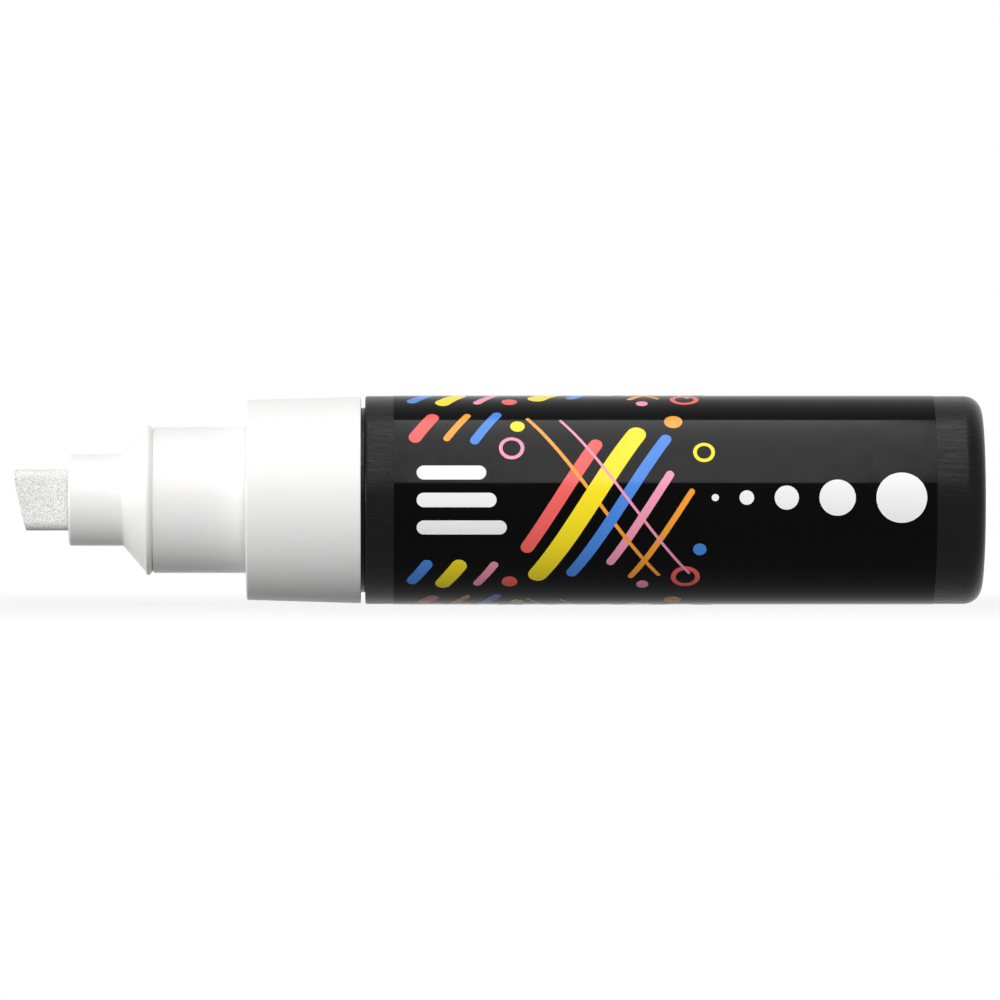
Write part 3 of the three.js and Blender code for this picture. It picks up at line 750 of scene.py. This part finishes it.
def spring_steel():
    """Bright drawn wire with fine draw marks and a trace of dried rinse water."""
    shade = Shade("drawn steel wire", settings().colours.steel)
    marks = shade.noise(0.1, (6, 1, 1), detail=4)
    shade.tint(0.85, 1.1, shade.noise(1.5), 0, 1)
    shade.gloss(0.16, 0.34, marks)
    shade.bump(0.003, marks)
    return shade.finished(Metallic=1.0)


def ball_steel():
    """Polished steel with the light scratches of balls that are shaken about."""
    shade = Shade("polished steel", settings().colours.steel)
    scratches = shade.noise(0.15, (1, 8, 1), detail=5, roughness=0.7)
    shade.tint(0.95, 1.1, shade.noise(2), 0, 1)
    shade.gloss(0.06, 0.2, scratches)
    shade.bump(0.0015, scratches)
    return shade.finished(Metallic=1.0)


FINISHES = {
    "black_tank": black_plastic,
    "label_film": black_film,
    "white_head": white_plastic,
    "nib_fibre": fibre,
    "natural_plastic": natural_plastic,
    "soft_seal": rubber,
    "spring_steel": spring_steel,
    "ball_steel": ball_steel,
}
made_finishes = {}


def finish(slot):
    """The finish of a material slot, made once."""
    if slot not in made_finishes:
        made_finishes[slot] = FINISHES[slot]()
    return made_finishes[slot]


# The marker's pieces


def tank_mesh():
    """The tank, from the middle of its inner tail round to the middle of its outer tail, with the thread
    raised from its neck."""
    tank = settings().tank
    lip, tail = ends_of("tank")
    shoulder = tail - tank.length
    bore = tank.radius - tank.wall
    neck_bore = tank.neck_root - tank.neck_wall
    inner_tail = tail - tank.tail_wall
    inner_shoulder = shoulder + tank.shoulder_wall
    neck_front = shoulder - tank.neck_base_length
    corners = [
        (inner_tail, 0, 0),
        (inner_tail, bore, tank.inner_round),
        (inner_shoulder + tank.inner_round, bore, tank.inner_round / 2),
        (inner_shoulder, neck_bore),
        (lip, neck_bore),
        (lip, tank.neck_root, 2 * tank.edge),
        (neck_front, tank.neck_root),
        (neck_front, tank.neck_base),
        (shoulder, tank.neck_base),
        (shoulder, tank.radius, tank.shoulder_edge),
        (tail, tank.radius, tank.tail_fillet),
        (tail, 0, 0),
    ]
    outline = rounded(corners, tank.edge, closed=False)
    wall = (lip, neck_front, tank.neck_root, tank.edge)
    return threaded_mesh(outline, wall, lip + settings().thread.front_gap, 1, closed=False)


def head_mesh():
    """The collar and the grip, with the thread standing inwards from the grip's wall."""
    head = settings().head
    front, rear = ends_of("head_shell")
    grip_front = front + head.collar_length
    grip_radius = radius_of("head_shell")
    web_rear = grip_front + head.web
    mouth_front = rear - head.mouth_depth
    corners = [
        (front, head.collar_radius, head.front_edge),
        (grip_front, head.collar_radius),
        (grip_front, grip_radius - head.grip_taper, head.grip_edge),
        (rear, grip_radius),
        (rear, head.mouth_radius),
        (mouth_front, head.mouth_radius),
        (mouth_front, head.thread_root),
        (web_rear, head.thread_root),
        (web_rear, head.collar_bore),
        (front, head.collar_bore),
    ]
    wall = (web_rear, mouth_front, head.thread_root, head.edge)
    first = ends_of("tank")[0] + settings().thread.front_gap + head.thread_setback
    return threaded_mesh(rounded(corners, head.edge), wall, first, -1)


SLOT_ROW = 0.25 * MM  # distance between rows of faces over the nozzle's slots


def nozzle_mesh():
    """The nozzle: tube, cone, bead and plug, with two slots in its bore for the carrier's keys. Rows of
    faces cross the bore from a millimetre before the slots to a millimetre behind them."""
    nozzle = settings().nozzle
    front, plug_end = ends_of("nozzle")
    bead_radius = radius_of("nozzle")
    cone_front = front + nozzle.length
    bead_front = cone_front + nozzle.cone_length
    bead_rear = bead_front + nozzle.bead_width
    plug_bore = nozzle.plug_radius - nozzle.plug_wall
    slope = (nozzle.cone_end - nozzle.radius) / nozzle.cone_length
    wall_along = nozzle.cone_wall * np.hypot(1, 1 / slope)  # the cone's wall, measured along the axis
    flare_rear = cone_front + (plug_bore - nozzle.radius) / slope + wall_along
    flare_front = cone_front + (nozzle.bore - nozzle.radius) / slope + wall_along
    corners = [
        (front, nozzle.radius, nozzle.rim),
        (cone_front, nozzle.radius, nozzle.rim),
        (bead_front, nozzle.cone_end, nozzle.edge / 4),
        (bead_front, bead_radius, nozzle.bead_round),
        (bead_front + nozzle.bead_crest, bead_radius, nozzle.bead_back),
        (bead_rear, bead_radius - nozzle.bead_fall),
        (bead_rear, nozzle.plug_radius),
        (plug_end, nozzle.plug_radius),
        (plug_end, plug_bore),
        (flare_rear, plug_bore),
        (flare_front, nozzle.bore),
        (front, nozzle.bore),
    ]
    slot_front = front + nozzle.slot_front
    slot_floor = nozzle.bore + nozzle.slot_depth
    low, high = (slot_front - MM, nozzle.bore - nozzle.edge), (flare_front + MM, slot_floor)

    def relief(x, r, a):
        in_slot = (r < slot_floor) & (x > slot_front) & (np.abs(r * np.cos(a)) < nozzle.slot_width / 2)
        return np.where(in_slot, slot_floor - r, 0)

    rows = with_rows(rounded(corners, nozzle.edge), SLOT_ROW, low, high)
    return turned_mesh(rows, settings().mesh.sides, relief=relief)


def nib_mesh():
    """The fibre block: a rounded rectangle carried along the axis, closed at both ends, with a slanted
    tip.

    Along a ray at the angle a from its top the section reaches as far as its rounded rectangle does. Each
    ring has a share of that section: none in the middle of an end, more by even steps as far as the end's
    chamfer, more by the steps of a sine across the chamfer, and all of it in between. The tip's station
    is the square flat's above and draws back along the slant below it, by the height of each point. The
    skin is sunk by its own depth, on the sides towards the axis and on the ends along it.
    """
    nib, mesh = settings().nib, settings().mesh
    low, high = BOX["nib"]
    half_y, half_z = (high - low)[1:] / 2
    length = high[0] - low[0]
    a = np.linspace(0, CIRCLE, int(4 * (half_y + half_z) / mesh.nib_row), endpoint=False)
    direction = np.column_stack([np.sin(a), np.cos(a)])
    reach = rounded_rectangle_reach(direction, half_y, half_z, nib.corner)
    chamfer = np.sin(np.linspace(0, np.pi / 2, mesh.arc_steps + 1))
    edge_share = nib.edge / min(half_y, half_z)
    cap = np.linspace(0, 1 - edge_share, int(half_z / mesh.nib_row))[:-1]
    middle = np.linspace(0, 1, int(length / mesh.nib_row))[1:-1]
    inset = nib.edge / length
    end_shares = np.concatenate([cap, 1 - edge_share * (1 - chamfer)])
    end_places = np.concatenate([0 * cap, inset * chamfer])
    shares = np.concatenate([end_shares, np.ones(len(middle)), end_shares[::-1]])[:, None]
    along = np.concatenate([end_places, inset + (1 - 2 * inset) * middle, 1 - end_places[::-1]])[:, None]
    section = (direction * reach[:, None])[None] * shares[..., None]
    below_flat = np.clip(half_z - nib.tip_flat - section[..., 1], 0, None)
    tip = low[0] + nib.slant_back * below_flat / (2 * half_z - nib.tip_flat)
    x = tip + (high[0] - tip) * along
    depth = skin_depth(np.dstack([x, section + (0, AXIS_HEIGHT)]))
    depth[[0, -1]] = 0
    section *= (1 - depth / np.maximum(np.linalg.norm(section, axis=-1), nib.edge))[..., None]
    x += np.sign(0.5 - along) * depth * (shares < 1)
    return grid_mesh(np.dstack([x, section + (0, AXIS_HEIGHT)]))


def skin_depth(points):
    """How deep the nib's uneven skin lies at each point, by a sum of sine waves.

    Their directions are spread over a sphere: the k-th of n is turned by k golden angles and its part
    along the axis is 1 - (2 k + 1) / n. Its length is the grain divided by 1 + k / n, and it starts at
    the phase k. A sine's square is a half on average, so the sum's spread is the root of n / 2. From two
    spreads below none to two above, the depth goes from none to the whole relief.
    """
    nib = settings().nib
    k = np.arange(nib.fibre_waves)
    golden = np.pi * (3 - np.sqrt(5))
    axial = 1 - (2 * k + 1) / nib.fibre_waves
    radial = np.sqrt(1 - axial**2)
    waves = np.stack([axial, np.sin(k * golden) * radial, np.cos(k * golden) * radial])
    phase = points @ waves * CIRCLE / nib.fibre_grain * (1 + k / nib.fibre_waves) + k
    spread = np.sqrt(nib.fibre_waves / 2)
    return nib.fibre_relief * (1 + np.clip(np.sin(phase).sum(axis=-1) / (2 * spread), -1, 1)) / 2


def rounded_rectangle_reach(direction, half_y, half_z, corner):
    """How far a rectangle with round corners reaches from its centre, along unit directions (y, z).

    It is the nearer of the two sides, or, where that point lies in a corner's square, the far end of the
    chord that the direction cuts from the corner's circle.
    """
    d = np.abs(direction) + 1e-12  # never 0, so that it can divide
    straight = np.minimum(half_y / d[:, 0], half_z / d[:, 1])
    centre = np.array([half_y - corner, half_z - corner])
    along = d @ centre
    chord = along + np.sqrt(np.maximum(along**2 - centre @ centre + corner**2, 0))
    in_corner = (straight[:, None] * d > centre).all(axis=1)
    return np.where(in_corner, chord, straight)


def stem_mesh():
    """The valve's stem: spigot, shank, flange and tail."""
    valve = settings().valve
    front, tail = ends_of("valve_stem")
    shank = front + valve.spigot_length
    flange = ends_of("valve_washer")[1] + valve.touch
    flange_rear = flange + valve.stem_flange
    flange_radius = radius_of("valve_stem")
    corners = [
        (front, 0, 0),
        (front, valve.stem_end, 2 * valve.edge),
        (shank, valve.stem_end),
        (shank, valve.stem_radius, valve.edge / 2),
        (flange, valve.stem_radius),
        (flange, flange_radius),
        (flange_rear, flange_radius),
        (flange_rear, valve.stem_end),
        (tail - valve.tail_chamfer, valve.stem_end),
        (tail, valve.stem_end - valve.tail_chamfer),
        (tail, 0, 0),
    ]
    return turned_mesh(rounded(corners, valve.edge, closed=False), settings().mesh.small_sides, closed=False)


def ring_mesh(node, inner, edge, sides, outer=None):
    """A flat ring from one end of a node to the other, between an inner radius and the node's own or
    another outer one, with rounded edges."""
    front, rear = ends_of(node)
    outer = outer or radius_of(node)
    corners = [(front, outer), (rear, outer), (rear, inner), (front, inner)]
    return turned_mesh(rounded(corners, edge), sides)


def seal_mesh():
    """The round-section ring round the valve body: a circle turned about the marker's axis."""
    front, rear = ends_of("body_seal")
    section = (rear - front) / 2
    middle_radius = radius_of("body_seal") - section
    a = np.linspace(np.pi, -np.pi, settings().mesh.seal_sides, endpoint=False)
    outline = np.column_stack([(front + rear) / 2 + section * np.cos(a), middle_radius + section * np.sin(a)])
    return turned_mesh(outline, settings().mesh.sides)


def valve_body_mesh():
    """The valve's housing: seat, cavity, groove for its seal, and flange."""
    valve = settings().valve
    front, rear = ends_of("valve_body")
    groove_front, groove_rear = ends_of("body_seal")[0] - valve.touch, ends_of("body_seal")[1] + valve.touch
    outer = radius_of("valve_body")
    plug = settings().nozzle.plug_radius
    flange = rear - valve.flange_thickness
    wall_rear = front + valve.front_wall
    seat = wall_rear + valve.seat_height
    corners = [
        (front, plug, valve.chamfer),
        (groove_front, plug),
        (groove_front, valve.groove),
        (groove_rear, valve.groove),
        (groove_rear, plug),
        (flange, plug),
        (flange, outer),
        (rear, outer),
        (rear, valve.cavity),
        (wall_rear, valve.cavity, 2 * valve.edge),
        (wall_rear, valve.seat_lip),
        (seat, valve.seat_lip),
        (seat, valve.seat_bore),
        (front, valve.seat_bore),
    ]
    return turned_mesh(rounded(corners, valve.edge), settings().mesh.sides)


CLOSING_RING = 0.85  # size of the ring that eases the edge of the wire's cut ends, as a share of the wire


def spring_mesh():
    """The spring's wire: a circle carried along a helix.

    After c curls the wire's middle has advanced by the closed pitch times the curls that belong to the
    two ends, plus the open pitch times the others, and lies at the angle 360 c degrees. The circle stands
    square to the helix, on its outward direction and the direction across it. At each end a smaller ring
    and a point close the wire.
    """
    spring = settings().spring
    wire = spring.wire_radius
    front, rear = ends_of("valve_spring")
    curl = np.linspace(0, spring.curls, spring.curls * spring.curl_steps + 1)
    open_curls = spring.curls - 2
    closed_pitch = 2 * wire + spring.end_gap
    open_pitch = (rear - front - 2 * wire - 2 * closed_pitch) / open_curls
    ends = np.minimum(curl, 1) + np.maximum(curl - spring.curls + 1, 0)
    x = front + wire + closed_pitch * ends + open_pitch * np.clip(curl - 1, 0, open_curls)
    a = CIRCLE * curl
    path = round_axis(x, radius_of("valve_spring") - wire, -a)
    outward = np.stack([0 * a, np.sin(a), np.cos(a)], axis=-1)
    across = np.cross(normalised(np.gradient(path, axis=0)), outward)
    turn = np.linspace(0, CIRCLE, spring.wire_sides, endpoint=False)[:, None]
    rings = outward[:, None] * np.cos(turn) + across[:, None] * np.sin(turn)
    closing = [0, CLOSING_RING]
    swell = np.array(closing + [1] * (len(path) - 2) + closing[::-1])[:, None, None]
    doubled = [0, *range(len(path)), -1]
    return grid_mesh(path[doubled, None] + wire * swell * rings[doubled])


def ball_mesh(node):
    """A mixing ball. At the angle p from the marker's rear and the angle a round it, a point lies at the
    ball's middle plus its radius times (cos p, -sin p sin a, sin p cos a)."""
    low, high = BOX[node]
    radius = float(high[0] - low[0]) / 2
    rings = settings().balls.rings
    p = np.linspace(np.pi, 0, rings + 1)[:, None]
    a = np.linspace(0, CIRCLE, 2 * rings, endpoint=False)
    r = radius * np.sin(p)
    r[[0, -1]] = 0
    points = np.stack([radius * np.cos(p) + 0 * a, -r * np.sin(a), r * np.cos(a)], axis=-1)
    return grid_mesh(points + (low + high) / 2)


# The label's print

# One third of the film's way round: strokes (ink, start, end, width), dots (ink, centre, radius) and
# rings (ink, centre, radius, width), in millimetres
STROKES = [
    ("yellow", (23, -15), (41, 13), 3.2),
    ("coral", (21.5, -9), (34, 10.5), 2.2),
    ("blue", (29, -14), (45.5, 11.5), 1.9),
    ("pink", (35.5, -11.5), (46, 4.8), 1.4),
    ("orange", (39, -14.5), (49.5, 1.8), 1.0),
    ("orange", (22, 15.5), (44, -14), 0.6),
    ("pink", (27.5, 15), (49, -13.5), 0.45),
    ("blue", (2.6, -16), (6, -10.7), 1.9),
    ("yellow", (7.5, -17), (11.5, -10.7), 2.6),
    ("pink", (13.5, -16.5), (17, -11), 1.4),
    ("coral", (3, 10.2), (7, 16.5), 2.2),
    ("orange", (8.5, 10.4), (12.5, 16.6), 1.2),
    ("blue", (13, 9.8), (17.5, 17), 1.6),
]
DOTS = [
    ("coral", (19.2, -15.5), 1.3),
    ("yellow", (20.5, 13.5), 1.2),
    ("pink", (41.2, -16.2), 1.0),
    ("orange", (46.3, 14.6), 1.5),
    ("blue", (50.6, -8.5), 1.1),
]
RINGS = [
    ("pink", (19.5, 9), 1.8, 0.6),
    ("coral", (48.3, -14.3), 2.0, 0.8),
    ("yellow", (51.3, 8.2), 1.5, 0.6),
]
THIRDS = 3

# On the side that faces the camera: short bars and a row of growing discs
BARS = [
    ("white", (3.8, 4.6), (15.3, 4.6), 2.4),
    ("white", (3.8, 0), (17, 0), 2.4),
    ("white", (3.8, -4.6), (18.7, -4.6), 2.4),
]
DISCS = [
    ("white", (53.1, 0.4), 0.6),
    ("white", (58.3, 0.4), 1.2),
    ("white", (64.9, 0.4), 2.0),
    ("white", (73.3, 0.4), 3.0),
    ("white", (83.9, 0.4), 4.2),
]


class Print:
    """Thin raised shapes on the film, gathered by ink, in millimetres.

    x runs from the label's front edge towards the tail and s up round the film from the line that faces the
    camera. The shapes' tops take turns on a few levels, so that those that cross never share a surface.
    """

    LEVELS = 9
    STRIDE = 4  # levels from one shape's top to the next one's
    TOP_GAP = 0.002 * MM  # from the outside of the packed sleeve to the highest top
    ROW = 0.5  # distance between rows of faces along a stroke
    LANE = 0.4  # distance between lanes of faces across a stroke or a dot
    CAP_ROWS = 10  # rows of faces along a stroke's round end
    RING_LANES = 4  # lanes of faces' edges across a ring

    def __init__(self):
        label = settings().label
        outside = radius_of("label_sleeve")
        self.front = ends_of("label_sleeve")[0]
        self.top = outside - self.TOP_GAP
        self.bottom = outside - label.film_setback - label.ink_sunk
        self.step = label.ink_setback / self.LEVELS
        self.count = 0
        self.shapes = {}

    def heights(self, lanes):
        """Radii of a shape's lanes: on its top, and then back on its underside."""
        self.count += 1
        top = self.top - self.step * (self.count * self.STRIDE % self.LEVELS)
        return np.repeat([top, self.bottom], lanes)

    def keep(self, ink_name, x, s, radius, closed_rows=False):
        """Wraps a grid of flat points (x, s) round the film, each at its radius. The angle of a point
        from the top is a quarter turn less s divided by the radius of the highest top."""
        points = round_axis(self.front + x * MM, radius, np.pi / 2 - s * MM / self.top)
        self.shapes.setdefault(ink_name, []).append(grid_mesh(points, closed_rows))

    def stroke(self, ink_name, start, end, width):
        """A straight stroke with round ends: at the way u along it, its half width is the root of
        r r - (r - u)(r - u) within r of an end, and r elsewhere, with r half the width."""
        length = np.linalg.norm(end - start)
        forward = (end - start) / length
        side = np.array([-forward[1], forward[0]])
        r = width / 2
        cap = r * (1 - np.cos(np.linspace(0, np.pi / 2, self.CAP_ROWS)))
        body = np.linspace(r, length - r, max(3, int(length / self.ROW)))[1:-1]
        u = np.concatenate([cap, body, length - cap[::-1]])[:, None, None]
        half = np.sqrt(np.maximum(r**2 - np.maximum(r - np.minimum(u, length - u), 0) ** 2, 0))
        lanes = np.linspace(-1, 1, max(3, int(width / self.LANE) + 1))
        across = np.concatenate([lanes, lanes[::-1]])[:, None]
        flat = start + u * forward + half * across * side
        radius = np.repeat(self.heights(len(lanes))[None], len(u), axis=0)
        radius[[0, -1]] = self.bottom
        self.keep(ink_name, flat[..., 0], flat[..., 1], radius)

    def circles(self, ink_name, centre, lanes, closed_rows):
        """Circles about a centre whose radii are the lanes, on top and then back underneath."""
        a = np.linspace(0, CIRCLE, settings().mesh.small_sides, endpoint=False)
        radii = np.concatenate([lanes, lanes[::-1]])[:, None]
        x, s = centre[0] + radii * np.cos(a), centre[1] + radii * np.sin(a)
        self.keep(ink_name, x, s, self.heights(len(lanes))[:, None], closed_rows)

    def draw(self, strokes, dots, rings, shift):
        """Tables of shapes, moved by a shift."""
        for ink_name, start, end, width in strokes:
            self.stroke(ink_name, start + shift, end + shift, width)
        for ink_name, centre, radius in dots:
            lanes = np.linspace(0, radius, max(3, int(radius / self.LANE)))
            self.circles(ink_name, centre + shift, lanes, closed_rows=False)
        for ink_name, centre, radius, width in rings:
            lanes = np.linspace(radius - width / 2, radius + width / 2, self.RING_LANES)
            self.circles(ink_name, centre + shift, lanes, closed_rows=True)


def printed_shapes():
    """The whole print, by ink: the coloured shapes three times round the film, and on the side that faces
    the camera three short white bars and a row of five growing white discs."""
    page = Print()
    third = CIRCLE * page.top / MM / THIRDS
    for k in range(THIRDS):
        page.draw(STROKES, DOTS, RINGS, np.array([0, k * third]))
    page.draw(BARS, DISCS, [], np.zeros(2))
    return page.shapes


# Stage


def seen_directly(tree):
    """1 for a ray from the camera, a mirror or a clear piece, and 0 for diffuse light."""
    path = tree.node("LightPath").outputs
    either = tree.math("MAXIMUM", path["Is Camera Ray"], path["Is Glossy Ray"])
    return tree.math("MAXIMUM", either, path["Is Transmission Ray"])


def make_floor():
    """A flat pale floor. Seen directly it turns white with the distance from the marker, and it keeps the
    marker's shadow beside it."""
    stage = settings().stage
    half = stage.floor_size / 2
    mesh = bpy.data.meshes.new("floor")
    mesh.from_pydata([(-half, -half, 0), (half, -half, 0), (half, half, 0), (-half, half, 0)], [], [range(4)])
    floor = new_object("floor", mesh)
    floor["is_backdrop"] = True
    shade = Shade("pale floor", [stage.floor_tone] * 3)
    length = shade.node("VectorMath", Vector=shade.coordinates)
    length.operation = "LENGTH"
    limits = (stage.floor_white_near, 1.0, stage.fade_start, stage.fade_end)
    fade = shade.ranged(length.outputs["Value"], *limits)
    mix = shade.node("MixShader", Fac=shade.math("MULTIPLY", fade, seen_directly(shade)))
    shade.feed(mix.inputs[1], shade.shader.outputs[0])
    shade.feed(mix.inputs[2], shade.node("Emission", Strength=1.0).outputs[0])
    shade.fill(shade.nodes["Material Output"], Surface=mix.outputs[0])
    mesh.materials.append(shade.finished(Base_Color=shade.scaled(1), Roughness=0.9, Specular_IOR_Level=0.0))


def make_world():
    """White where it is seen directly, and a soft even light elsewhere."""
    world = bpy.data.worlds.new("studio")
    bpy.context.scene.world = world
    tree = Tree(world)
    strength = tree.ranged(seen_directly(tree), settings().stage.sky, 1.0, 0, 1)
    tree.fill(tree.nodes["Background"], Color=(1, 1, 1, 1), Strength=strength)


def on_arc(distance, height):
    """The place at a distance from the marker's axis, at an angle of height over the camera's side."""
    return Vector((0, -distance * np.cos(height), AXIS_HEIGHT + distance * np.sin(height)))


def aimed(name, data, place, target):
    """A lamp or camera at a place, turned to look at a target."""
    holder = new_object(name, data)
    holder.location = place
    holder.rotation_euler = (target - place).to_track_quat("-Z", "Y").to_euler()
    return holder


def make_lamp(name, place, target, width, height, power):
    lamp = bpy.data.lights.new(name, "AREA")
    lamp.shape = "RECTANGLE"
    lamp.size = width
    lamp.size_y = height
    lamp.energy = power
    holder = aimed(name, lamp, place, target)
    holder.visible_camera = False
    return holder


def make_lamps():
    """A long strip lamp that arches over the camera's side, a broad fill lamp near the camera, a third as
    high as it is wide, and a square side lamp beyond the nib."""
    stage = settings().stage
    target = Vector((0, 0, AXIS_HEIGHT))
    middle = (stage.strip_low + stage.strip_high) / 2
    length = 2 * stage.strip_distance * np.tan((stage.strip_high - stage.strip_low) / 2)
    along = Vector((stage.strip_station, 0, 0))
    place = on_arc(stage.strip_distance, middle) + along
    make_lamp("strip lamp", place, target + along, stage.strip_width, length, stage.strip_power)
    place = on_arc(stage.fill_distance, stage.fill_height)
    fill = make_lamp("fill lamp", place, target, stage.fill_width, stage.fill_width / 3, stage.fill_power)
    fill.visible_glossy = False
    place = Vector((stage.side_station, -stage.side_reach, stage.side_height))
    make_lamp("side lamp", place, target, stage.side_width, stage.side_width, stage.side_power)


def make_camera():
    """The camera at the marker's own height, turned a little towards its middle."""
    stage = settings().stage
    camera = bpy.data.cameras.new("camera")
    camera.lens = stage.lens
    camera.sensor_width = stage.sensor
    camera.clip_end = 100  # metres, past the floor's corners
    place = Vector((stage.camera_station, -stage.camera_distance, AXIS_HEIGHT))
    target = Vector((stage.aim_station, 0, AXIS_HEIGHT))
    bpy.context.scene.camera = aimed("camera", camera, place, target)


# Operators


class MARKER_OT_stage(bpy.types.Operator):
    """Makes the floor, the lamps, the world and the camera"""

    bl_idname = "marker.stage"
    bl_label = "Stage"

    def execute(self, context):
        make_floor()
        make_world()
        make_lamps()
        make_camera()
        context.scene.view_settings.view_transform = "Standard"
        return {"FINISHED"}


class MARKER_OT_tank(bpy.types.Operator):
    """Makes the black tank with its threaded neck"""

    bl_idname = "marker.tank"
    bl_label = "Tank"

    def execute(self, context):
        make_piece("tank_barrel", tank_mesh(), "black_tank", "reservoir", "tank")
        return {"FINISHED"}


class MARKER_OT_label(bpy.types.Operator):
    """Makes the film round the tank and its print"""

    bl_idname = "marker.label"
    bl_label = "Label"

    def execute(self, context):
        label = settings().label
        outer = radius_of("label_sleeve") - label.film_setback
        inner = settings().tank.radius + settings().valve.touch
        film = ring_mesh("label_sleeve", inner, label.edge, settings().mesh.sides, outer)
        make_piece("label_film", film, "label_film", "reservoir", "label_sleeve")
        for name, shapes in printed_shapes().items():
            make_piece("print_" + name, joined(shapes), "label_film", "reservoir", material=ink(name))
        return {"FINISHED"}


class MARKER_OT_head(bpy.types.Operator):
    """Makes the collar and the grip"""

    bl_idname = "marker.head"
    bl_label = "Head"

    def execute(self, context):
        make_piece("collar_and_grip", head_mesh(), "white_head", "head", "head_shell")
        return {"FINISHED"}


class MARKER_OT_nozzle(bpy.types.Operator):
    """Makes the nozzle with its cone and bead"""

    bl_idname = "marker.nozzle"
    bl_label = "Nozzle"

    def execute(self, context):
        make_piece("nozzle_tube", nozzle_mesh(), "white_head", "head", "nozzle")
        return {"FINISHED"}


class MARKER_OT_nib(bpy.types.Operator):
    """Makes the fibre nib"""

    bl_idname = "marker.nib"
    bl_label = "Nib"

    def execute(self, context):
        make_piece("fibre_nib", nib_mesh(), "nib_fibre", "writing_nib", "nib")
        return {"FINISHED"}


class MARKER_OT_valve(bpy.types.Operator):
    """Makes the nib's carrier, the stem, the washer, the valve body, the seals and the cage"""

    bl_idname = "marker.valve"
    bl_label = "Valve"

    def execute(self, context):
        valve, mesh = settings().valve, settings().mesh
        washer = ring_mesh("valve_washer", valve.stem_radius + valve.press_gap, valve.edge, mesh.small_sides)
        gasket = ring_mesh("neck_gasket", valve.gasket_bore, valve.edge, mesh.sides)
        make_piece("stem", stem_mesh(), "natural_plastic", "push_valve", "valve_stem")
        make_piece("washer", washer, "soft_seal", "push_valve", "valve_washer")
        make_piece("housing", valve_body_mesh(), "natural_plastic", "head", "valve_body")
        make_piece("housing_seal", seal_mesh(), "soft_seal", "head", "body_seal")
        make_piece("gasket_ring", gasket, "soft_seal", "gasket", "neck_gasket")
        finished_copy("nib_carrier", "nib_cup", valve.carrier_edge, "natural_plastic", "push_valve")
        finished_copy("valve_cage", "basket", valve.cage_edge, "natural_plastic", "head")
        return {"FINISHED"}


class MARKER_OT_spring(bpy.types.Operator):
    """Makes the valve's spring, which the nib presses on"""

    bl_idname = "marker.spring"
    bl_label = "Spring"

    def execute(self, context):
        piece = make_piece("spring_wire", spring_mesh(), "spring_steel", "head", "valve_spring")
        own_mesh(piece)
        return {"FINISHED"}


class MARKER_OT_balls(bpy.types.Operator):
    """Makes the two mixing balls"""

    bl_idname = "marker.balls"
    bl_label = "Mixing balls"

    def execute(self, context):
        for place in ("front", "rear"):
            node = "mixing_ball_" + place
            make_piece(place + "_shaker", ball_mesh(node), "ball_steel", place + "_ball", node)
        return {"FINISHED"}


OPERATORS = (
    MARKER_OT_stage,
    MARKER_OT_tank,
    MARKER_OT_label,
    MARKER_OT_head,
    MARKER_OT_nozzle,
    MARKER_OT_nib,
    MARKER_OT_valve,
    MARKER_OT_spring,
    MARKER_OT_balls,
)


class MARKER_PT_panel(bpy.types.Panel):
    """Lists the marker's pieces"""

    bl_idname = "MARKER_PT_panel"
    bl_label = "Paint marker"
    bl_space_type = "VIEW_3D"
    bl_region_type = "UI"
    bl_category = "Marker"

    def draw(self, context):
        for operator in OPERATORS:
            self.layout.operator(operator.bl_idname)


CLASSES = (*GROUPS.values(), MarkerSettings, *OPERATORS, MARKER_PT_panel)


def register():
    for cls in CLASSES:
        bpy.utils.register_class(cls)
    bpy.types.Scene.paint_marker = PointerProperty(type=MarkerSettings)


def unregister():
    del bpy.types.Scene.paint_marker
    for cls in reversed(CLASSES):
        bpy.utils.unregister_class(cls)


def main():
    register()
    for operator in OPERATORS:
        group, name = operator.bl_idname.split(".")
        getattr(getattr(bpy.ops, group), name)()
    bpy.context.view_layer.update()
    boxes = {"cad": CAD_BOUNDS, "visual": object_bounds()}
    {key: np.array(box).tolist() for key, box in boxes.items()}


if __name__ == "__main__":
    main()
